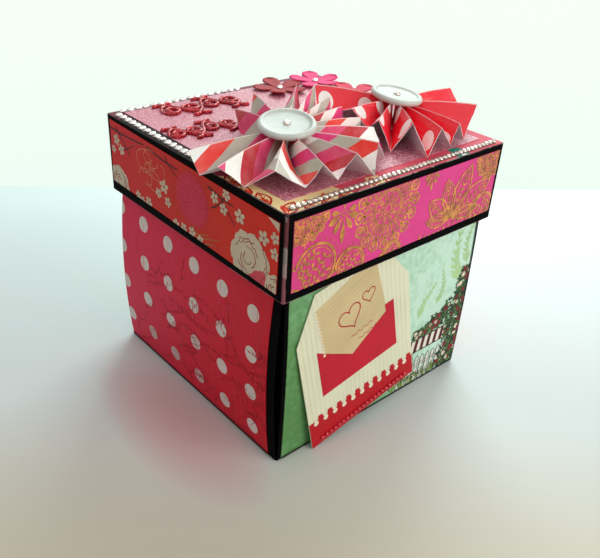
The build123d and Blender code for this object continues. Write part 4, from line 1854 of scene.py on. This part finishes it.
@dataclass
class LidTop:
    """Printed border and rows of stones on the lid's top."""

    border_inset: float = 0.2
    border_inner: float = 47.8
    front_extra: float = 3.4
    strip_inset: float = 2.2
    pitch: float = 3.4
    fine_pitch: float = 2.19
    coral: Ink = ink("border_coral", (226, 84, 108), 0)
    cream: Ink = ink("border_cream", (255, 228, 172), 1)
    leaf_line: Ink = ink("border_red_line", (196, 30, 30), 3)
    bright: Ink = ink("border_orange", (236, 84, 40), 2)
    teal: Ink = ink("border_teal", (44, 134, 116), 1)
    white: Ink = ink("border_white", (240, 240, 236), 2)
    mauve: Ink = ink("border_mauve", (120, 52, 70), 2)
    dark: Ink = ink("border_dark", (10, 9, 10), 1)
    crimson: Ink = ink("border_crimson", (178, 44, 76), 0)

    def build(self) -> None:
        """Prints the border and sets the stones along three edges."""
        half = SIZES.lid_half - self.border_inset
        inner = self.border_inner
        front = self.front_extra - inner
        across = Vector((1, 0, 0))
        inward = Vector((0, 1, 0))
        panel = Panel(Vector((0, 0, SIZES.lid_top)), across, inward, (-half, -half, half, half))
        lifts = {"first_lift": 0.03, "layer_lift": 0.015, "shape_lift": 0.0003}
        design = Print("lid_border", panel, "lid", "patchwork_card", **lifts)
        design.block(-half, -half, half, front, self.coral)
        design.block(inner, -half, half, half, self.coral)
        design.block(-half, -half, -inner, half, self.crimson)
        design.block(-half, inner, half, half, self.mauve)
        for tint, outline in (
            (self.dark, [(-half, -4), (-inner, -6), (-inner, half), (-half, half)]),
            (self.mauve, [(-half, 44), (-inner, 46), (-inner, half), (-half, half)]),
            (self.teal, [(26, -half), (33, -half), (34, -inner + 1), (29, -inner + 3)]),
            (self.white, [(29, -half), (31.6, -half), (31, -half + 2.6), (29.2, -half + 2.8)]),
            (self.cream, [(-half, -half), (-26, -half), (-29, front), (-half, front)]),
            (self.cream, [(-half, front), (-inner, front), (-inner, -24), (-half, -19)]),
            (self.cream, [(-18, -half), (-9, -half), (-10, -inner), (-15, -inner + 1)]),
        ):
            design.fill(outline, tint)
        for foot, angle in (
            ((-53, -53), 38),
            ((-46, -53), 14),
            ((-38, -53), 20),
            ((-31, -53), 12),
            ((-17, -53), 20),
            ((-53, -45), 76),
            ((-52.6, -36), 98),
            ((-52, -29), 84),
        ):
            self.add_leaf(design, foot, angle)
        design.lay()
        self.set_stones(across, inward)

    def add_leaf(self, design: Print, foot: Point, angle: float) -> None:
        """Draws one veined leaf of the border with a bright one beside it."""
        design.loop(turned(leaf(9.0, 4.4, 9), foot, angle), 0.7, self.leaf_line)
        design.stroke(turned([(0.5, 0), (8.4, 0)], foot, angle), 0.45, self.leaf_line)
        for step in (2.4, 4.4, 6.4):
            for turn in (-35, 35):
                vein = turned([(0, 0), (1.8, 0)], (step, 0), turn)
                design.stroke(turned(vein, foot, angle), 0.3, self.leaf_line)
        design.fill(turned(leaf(5.0, 2.6, 6), (foot[0] + 1.4, foot[1] + 1.0), angle + 40), self.bright)

    def set_stones(self, across: Vector, inward: Vector) -> None:
        """Sets a row of fine stones along the front edge and larger ones along the back and left edges."""
        edge = SIZES.lid_half - self.strip_inset
        end = edge - self.pitch
        for name, count, start, along, pitch, radius, stone in (
            ("front", 46, (-22.5 * self.fine_pitch, -edge), across, self.fine_pitch, 1.02, DULL_STONE),
            ("back", 17, (-end, edge), across, self.pitch, 1.36, CLEAR_STONE),
            ("left", 15, (-edge, end - 14 * self.pitch), inward, self.pitch, 1.36, CLEAR_STONE),
        ):
            StoneRow(
                name=f"stones_{name}",
                node=f"gem_strip_{name}",
                body="lid",
                slot="clear_stone",
                start=Vector((*start, SIZES.lid_top)),
                along=along,
                normal=Vector((0, 0, 1)),
                count=count,
                pitch=pitch,
                radius=radius,
                height=0.9,
                stone=stone,
                cup=STONE_CUP,
            ).build()


STRIPED_FOLDS = (
    (138, 24.0, 0.6), (160, 33.5, 5.0), (177, 34.0, 0.6), (191, 33.5, 6.0), (206, 31.0, 0.6),
    (224, 32.5, 8.0), (241, 31.0, 2.2), (249, 33.0, 10.4), (264, 29.0, 2.4), (274, 31.0, 10.8),
    (291, 33.0, 1.0), (299, 31.5, 10.6), (313, 33.5, 2.4), (338, 32.0, 8.2), (345, 29.0, 2.0),
    (355, 32.5, 8.6), (362, 28.0, 2.4), (371, 32.0, 10.2), (375, 28.0, 3.0), (381, 32.5, 12.6),
    (387, 27.0, 4.0), (392, 33.5, 16.0), (398, 28.0, 3.0), (404, 33.0, 15.2), (417, 26.0, 2.0),
    (431, 34.0, 11.6), (439, 27.0, 1.4), (446, 32.0, 7.2), (453, 24.0, 0.6),
)
SPOTTED_FOLDS = (
    (112, 25.0, 4.0), (128, 31.0, 12.2), (153, 30.0, 4.6), (183, 24.0, 10.6), (201, 25.0, 5.4),
    (212, 30.0, 11.0), (222, 32.0, 0.6), (235, 30.0, 10.8), (243, 36.0, 0.5), (254, 32.0, 9.4),
    (267, 30.0, 1.4), (276, 29.5, 8.4), (284, 30.0, 1.2), (311, 31.0, 10.8), (334, 28.5, 4.6),
    (354, 30.0, 10.4), (367, 23.0, 2.4),
)


def tilted(tilt: float, downhill: float) -> Vector:
    """Upward unit vector of a face that leans by a tilt toward a heading, both in degrees."""
    slope = math.radians(tilt)
    heading = math.radians(downhill)
    return Vector((math.sin(slope) * math.cos(heading), math.sin(slope) * math.sin(heading), math.cos(slope)))


@dataclass
class Rosettes:
    """The striped and the dotted rosette, each under its button."""

    striped_hub: Point = (-25.0, -19.0)
    striped_slope: Point = (0.1, 0.11)
    striped_button: float = 10.3
    dotted_hub: Point = (30.8, -16.4)
    dotted_slope: Point = (-0.1, 0.1)
    dotted_button: float = 6.2
    dotted_stand: float = 4.2

    def build(self) -> None:
        """Folds both rosettes and sets their buttons."""
        Rosette("striped", self.striped_hub, STRIPES, STRIPED_FOLDS, slope=self.striped_slope).build()
        centre = Vector((*self.striped_hub, SIZES.mat_top + self.striped_button))
        Button("striped", centre, tilted(9.0, 229.0)).build()
        Rosette("dotted", self.dotted_hub, SPOTS, SPOTTED_FOLDS, slope=self.dotted_slope).build()
        facing = tilted(8.0, -45.0)
        centre = Vector((*self.dotted_hub, SIZES.mat_top + self.dotted_button)) + facing * self.dotted_stand
        Button("dotted", centre, facing).build()


def dress_nodes(nodes: dict[str, bpy.types.Object]) -> None:
    """Gives every node of the box that stays in view its finish.

    Args:
        nodes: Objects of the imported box, by node.
    """
    by_start = {
        # The middle layer's black card is partly painted shade: it keeps the narrow gaps between the nested
        # walls dark.
        BLACK_CARD: ("outer_box", "middle_layer", "inner_layer", "rim_mat"),
        CREAM_PAPER: ("middle_mat", "inner_mat", "floor_mat"),
        DOT_GROUND: ("wall_paper_left", "wall_paper_right"),
        MINT_GROUND: ("wall_paper_front", "wall_paper_back"),
        CREAM_CARD: ("standing_card",),
        PATCHWORK: ("lid_tray",),
        BLOSSOM_GROUND: ("rim_paper_left", "rim_paper_right"),
        FOIL_GROUND: ("rim_paper_front", "rim_paper_back"),
        GLITTER_MAT: ("top_mat",),
        WHITE_PAPER: ("backing_disc",),
        STRIPES: ("rosette_striped",),
        SPOTS: ("rosette_dotted",),
        BUTTON_WHITE: ("button",),
        CLEAR_STONE: ("gem_strip", "flower_gem"),
        RED_STONE: ("card_gems",),
        ROSE_PETAL: ("flower",),
        RED_GLITTER: ("scroll",),
    }
    for name, node in nodes.items():
        finish = next(finish for finish, starts in by_start.items() if name.startswith(starts))
        node.data.materials.clear()
        node.data.materials.append(finish.material())


@dataclass
class Studio:
    """Pale table, soft lamps and the camera at the portrait's viewpoint."""

    camera_place: tuple[float, float, float] = (-178.13, -194.63, 195.22)
    heading: float = 42.92
    elevation: float = 31.22
    roll: float = 3.52
    lens: float = 43.53
    high_backdrop: Rgb = (248, 255, 245)
    low_backdrop: Rgb = (238, 254, 244)
    backdrop_fade: Point = (-0.41, -0.18)
    fill: Rgb = (250, 250, 238)
    fill_strength: float = 0.42
    table_far: Rgb = (234, 248, 252)
    # Painted shade: the middle and near colours darken the table round the box and toward the camera;
    # table_far is its own pale colour.
    table_middle_painted_shade: Rgb = (207, 214, 219)
    table_near_painted_shade: Rgb = (202, 191, 166)
    table_roughness: float = 0.52
    table_reach: float = 1.5
    # Painted red bounce of light from the red wall, tinting the table beside the left wall.
    blush: Rgb = (202, 170, 176)
    painted_bounce_middle: Point = (-68, -12)
    painted_bounce_reach: Point = (21, 52)
    far_edge: tuple[Point, Point] = ((-37.3, 236.7), (285.7, 7.7))

    def build(self) -> None:
        """Sets up everything around the box."""
        self.set_camera()
        self.set_world()
        self.set_table()
        self.set_lamps()
        bpy.context.scene.view_settings.view_transform = "Standard"

    def set_camera(self) -> None:
        """Places the camera."""
        heading = math.radians(self.heading)
        elevation = math.radians(self.elevation)
        roll = math.radians(self.roll)
        ahead = math.cos(elevation)
        forward = Vector((math.sin(heading) * ahead, math.cos(heading) * ahead, -math.sin(elevation)))
        level = forward.cross(Vector((0, 0, 1))).normalized()
        above = level.cross(forward)
        right = level * math.cos(roll) + above * math.sin(roll)
        up = right.cross(forward)
        data = bpy.data.cameras.new("portrait_camera")
        data.lens = self.lens
        data.sensor_width = 36.0
        data.clip_start = 0.005
        camera = bpy.data.objects.new("portrait_camera", data)
        facing = Matrix((right, up, -forward)).transposed().to_4x4()
        camera.matrix_world = Matrix.Translation(Vector(self.camera_place) * MM) @ facing
        bpy.context.scene.collection.objects.link(camera)
        bpy.context.scene.camera = camera

    def set_world(self) -> None:
        """Gives the surroundings a pale backdrop and an even, gentle light."""
        world = bpy.data.worlds.new("surroundings")
        bpy.context.scene.world = world
        world.use_nodes = True
        world.node_tree.nodes.clear()
        tree = Tree(world.node_tree)
        height = tree.split(tree.add("ShaderNodeTexCoord").outputs["Generated"])[2]
        fade = tree.mix(tree.ramp(height, *self.backdrop_fade), self.low_backdrop, self.high_backdrop)
        seen = tree.add("ShaderNodeBackground", {"Color": fade})
        lit = tree.add("ShaderNodeBackground", {"Color": linear(self.fill), "Strength": self.fill_strength})
        path = tree.add("ShaderNodeLightPath").outputs
        through = tree.math("MAXIMUM", path["Is Camera Ray"], path["Is Transmission Ray"])
        shown = tree.math("MAXIMUM", through, path["Is Glossy Ray"])
        choice = tree.add("ShaderNodeMixShader", {0: shown, 1: lit.outputs[0], 2: seen.outputs[0]})
        tree.add("ShaderNodeOutputWorld", {0: choice.outputs[0]})

    def set_table(self) -> None:
        """Lays a wide pale table under the box."""
        first, last = (Vector((*end, 0)) * MM for end in self.far_edge)
        along = (last - first).normalized() * self.table_reach
        near = along.cross(Vector((0, 0, 1)))
        corners = [first - along, first - along + near, last + along + near, last + along]
        mesh = make_mesh("table", corners, [(0, 1, 2, 3)])
        table = bpy.data.objects.new("table", mesh)
        bpy.context.scene.collection.objects.link(table)
        mesh.materials.append(self.table_top())

    def table_top(self) -> bpy.types.Material:
        """Makes the table's finish: colours that change away from the camera, with painted shade that darkens
        and warms the table toward the camera and round the box, and a faint painted red bounce of light
        beside the left wall.
        """
        graph = Graph("table_top")
        across, along, _ = graph.split(graph.place)
        away = graph.math("ADD", graph.math("MULTIPLY", across, 0.93), along)
        # Painted shade: darker, warmer colours toward the camera and round the box.
        close = graph.mix(graph.ramp(away, -0.2, -0.06), self.table_near_painted_shade, self.table_middle_painted_shade)
        nearer = graph.mix(graph.ramp(away, -0.7, -0.3), self.table_far, close)
        # Painted red bounce: a soft red tint in an oval beside the left wall.
        squares = []
        for place, middle, reach in zip((across, along), self.painted_bounce_middle, self.painted_bounce_reach):
            offset = graph.math("MULTIPLY", graph.math("SUBTRACT", place, middle * MM), 1 / (reach * MM))
            squares.append(graph.math("MULTIPLY", offset, offset))
        blushing = graph.mix(graph.ramp(graph.math("ADD", *squares), 1.0, 0.0), nearer, self.blush)
        top = graph.mix(graph.ramp(away, -0.04, 0.17), blushing, self.table_far)
        graph.set(Base_Color=top, Roughness=self.table_roughness)
        return graph.material

    def set_lamps(self) -> None:
        """Hangs the soft lamps, each given by where it stands and how wide and strong it is."""
        lamps = (
            ("window", (480, 330, 520), 460, 3.9, (238, 255, 250)),
            ("room", (200, -640, 380), 520, 2.7, (255, 247, 236)),
            ("ceiling", (-200, -60, 800), 700, 1.1, (250, 252, 248)),
        )
        target = Vector((0, 0, 60))
        for name, place, size, watts, tint in lamps:
            data = bpy.data.lights.new(name, "AREA")
            data.size = size * MM
            data.energy = watts
            data.color = linear(tint)[:3]
            lamp = bpy.data.objects.new(name, data)
            lamp.location = Vector(place) * MM
            lamp.rotation_euler = (target - Vector(place)).to_track_quat("-Z", "Y").to_euler()
            bpy.context.scene.collection.objects.link(lamp)


def main() -> None:
    """Dresses the box and its surroundings."""
    logging.basicConfig(level=logging.INFO, format="%(name)s %(message)s")
    # Without a seed of its own, the vector noise of the rosettes' crumple starts from the clock.
    noise.seed_set(NOISE_SEED)
    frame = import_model()
    dress_nodes(frame["nodes"])
    builders: tuple[Callable[[], None], ...] = (
        Studio().build,
        DottedWall(Side.LEFT).build,
        DottedWall(Side.RIGHT).build,
        GardenWall(Side.FRONT).build,
        GardenWall(Side.BACK).build,
        BlossomRim(Side.LEFT).build,
        BlossomRim(Side.RIGHT).build,
        FoilRim(Side.FRONT).build,
        FoilRim(Side.BACK).build,
        LidTop().build,
        Scrolls().build,
        Rosettes().build,
        Flower("red", (22.8, 41.6), 8.0, RED_PETAL).build,
        Flower("pink", (43.4, 41.6), 66.0, PINK_PETAL).build,
        Flower("rose", (46.2, 19.2), 12.0, ROSE_PETAL).build,
        StandingCard().build,
    )
    for build in builders:
        build()


if __name__ == "__main__":
    main()
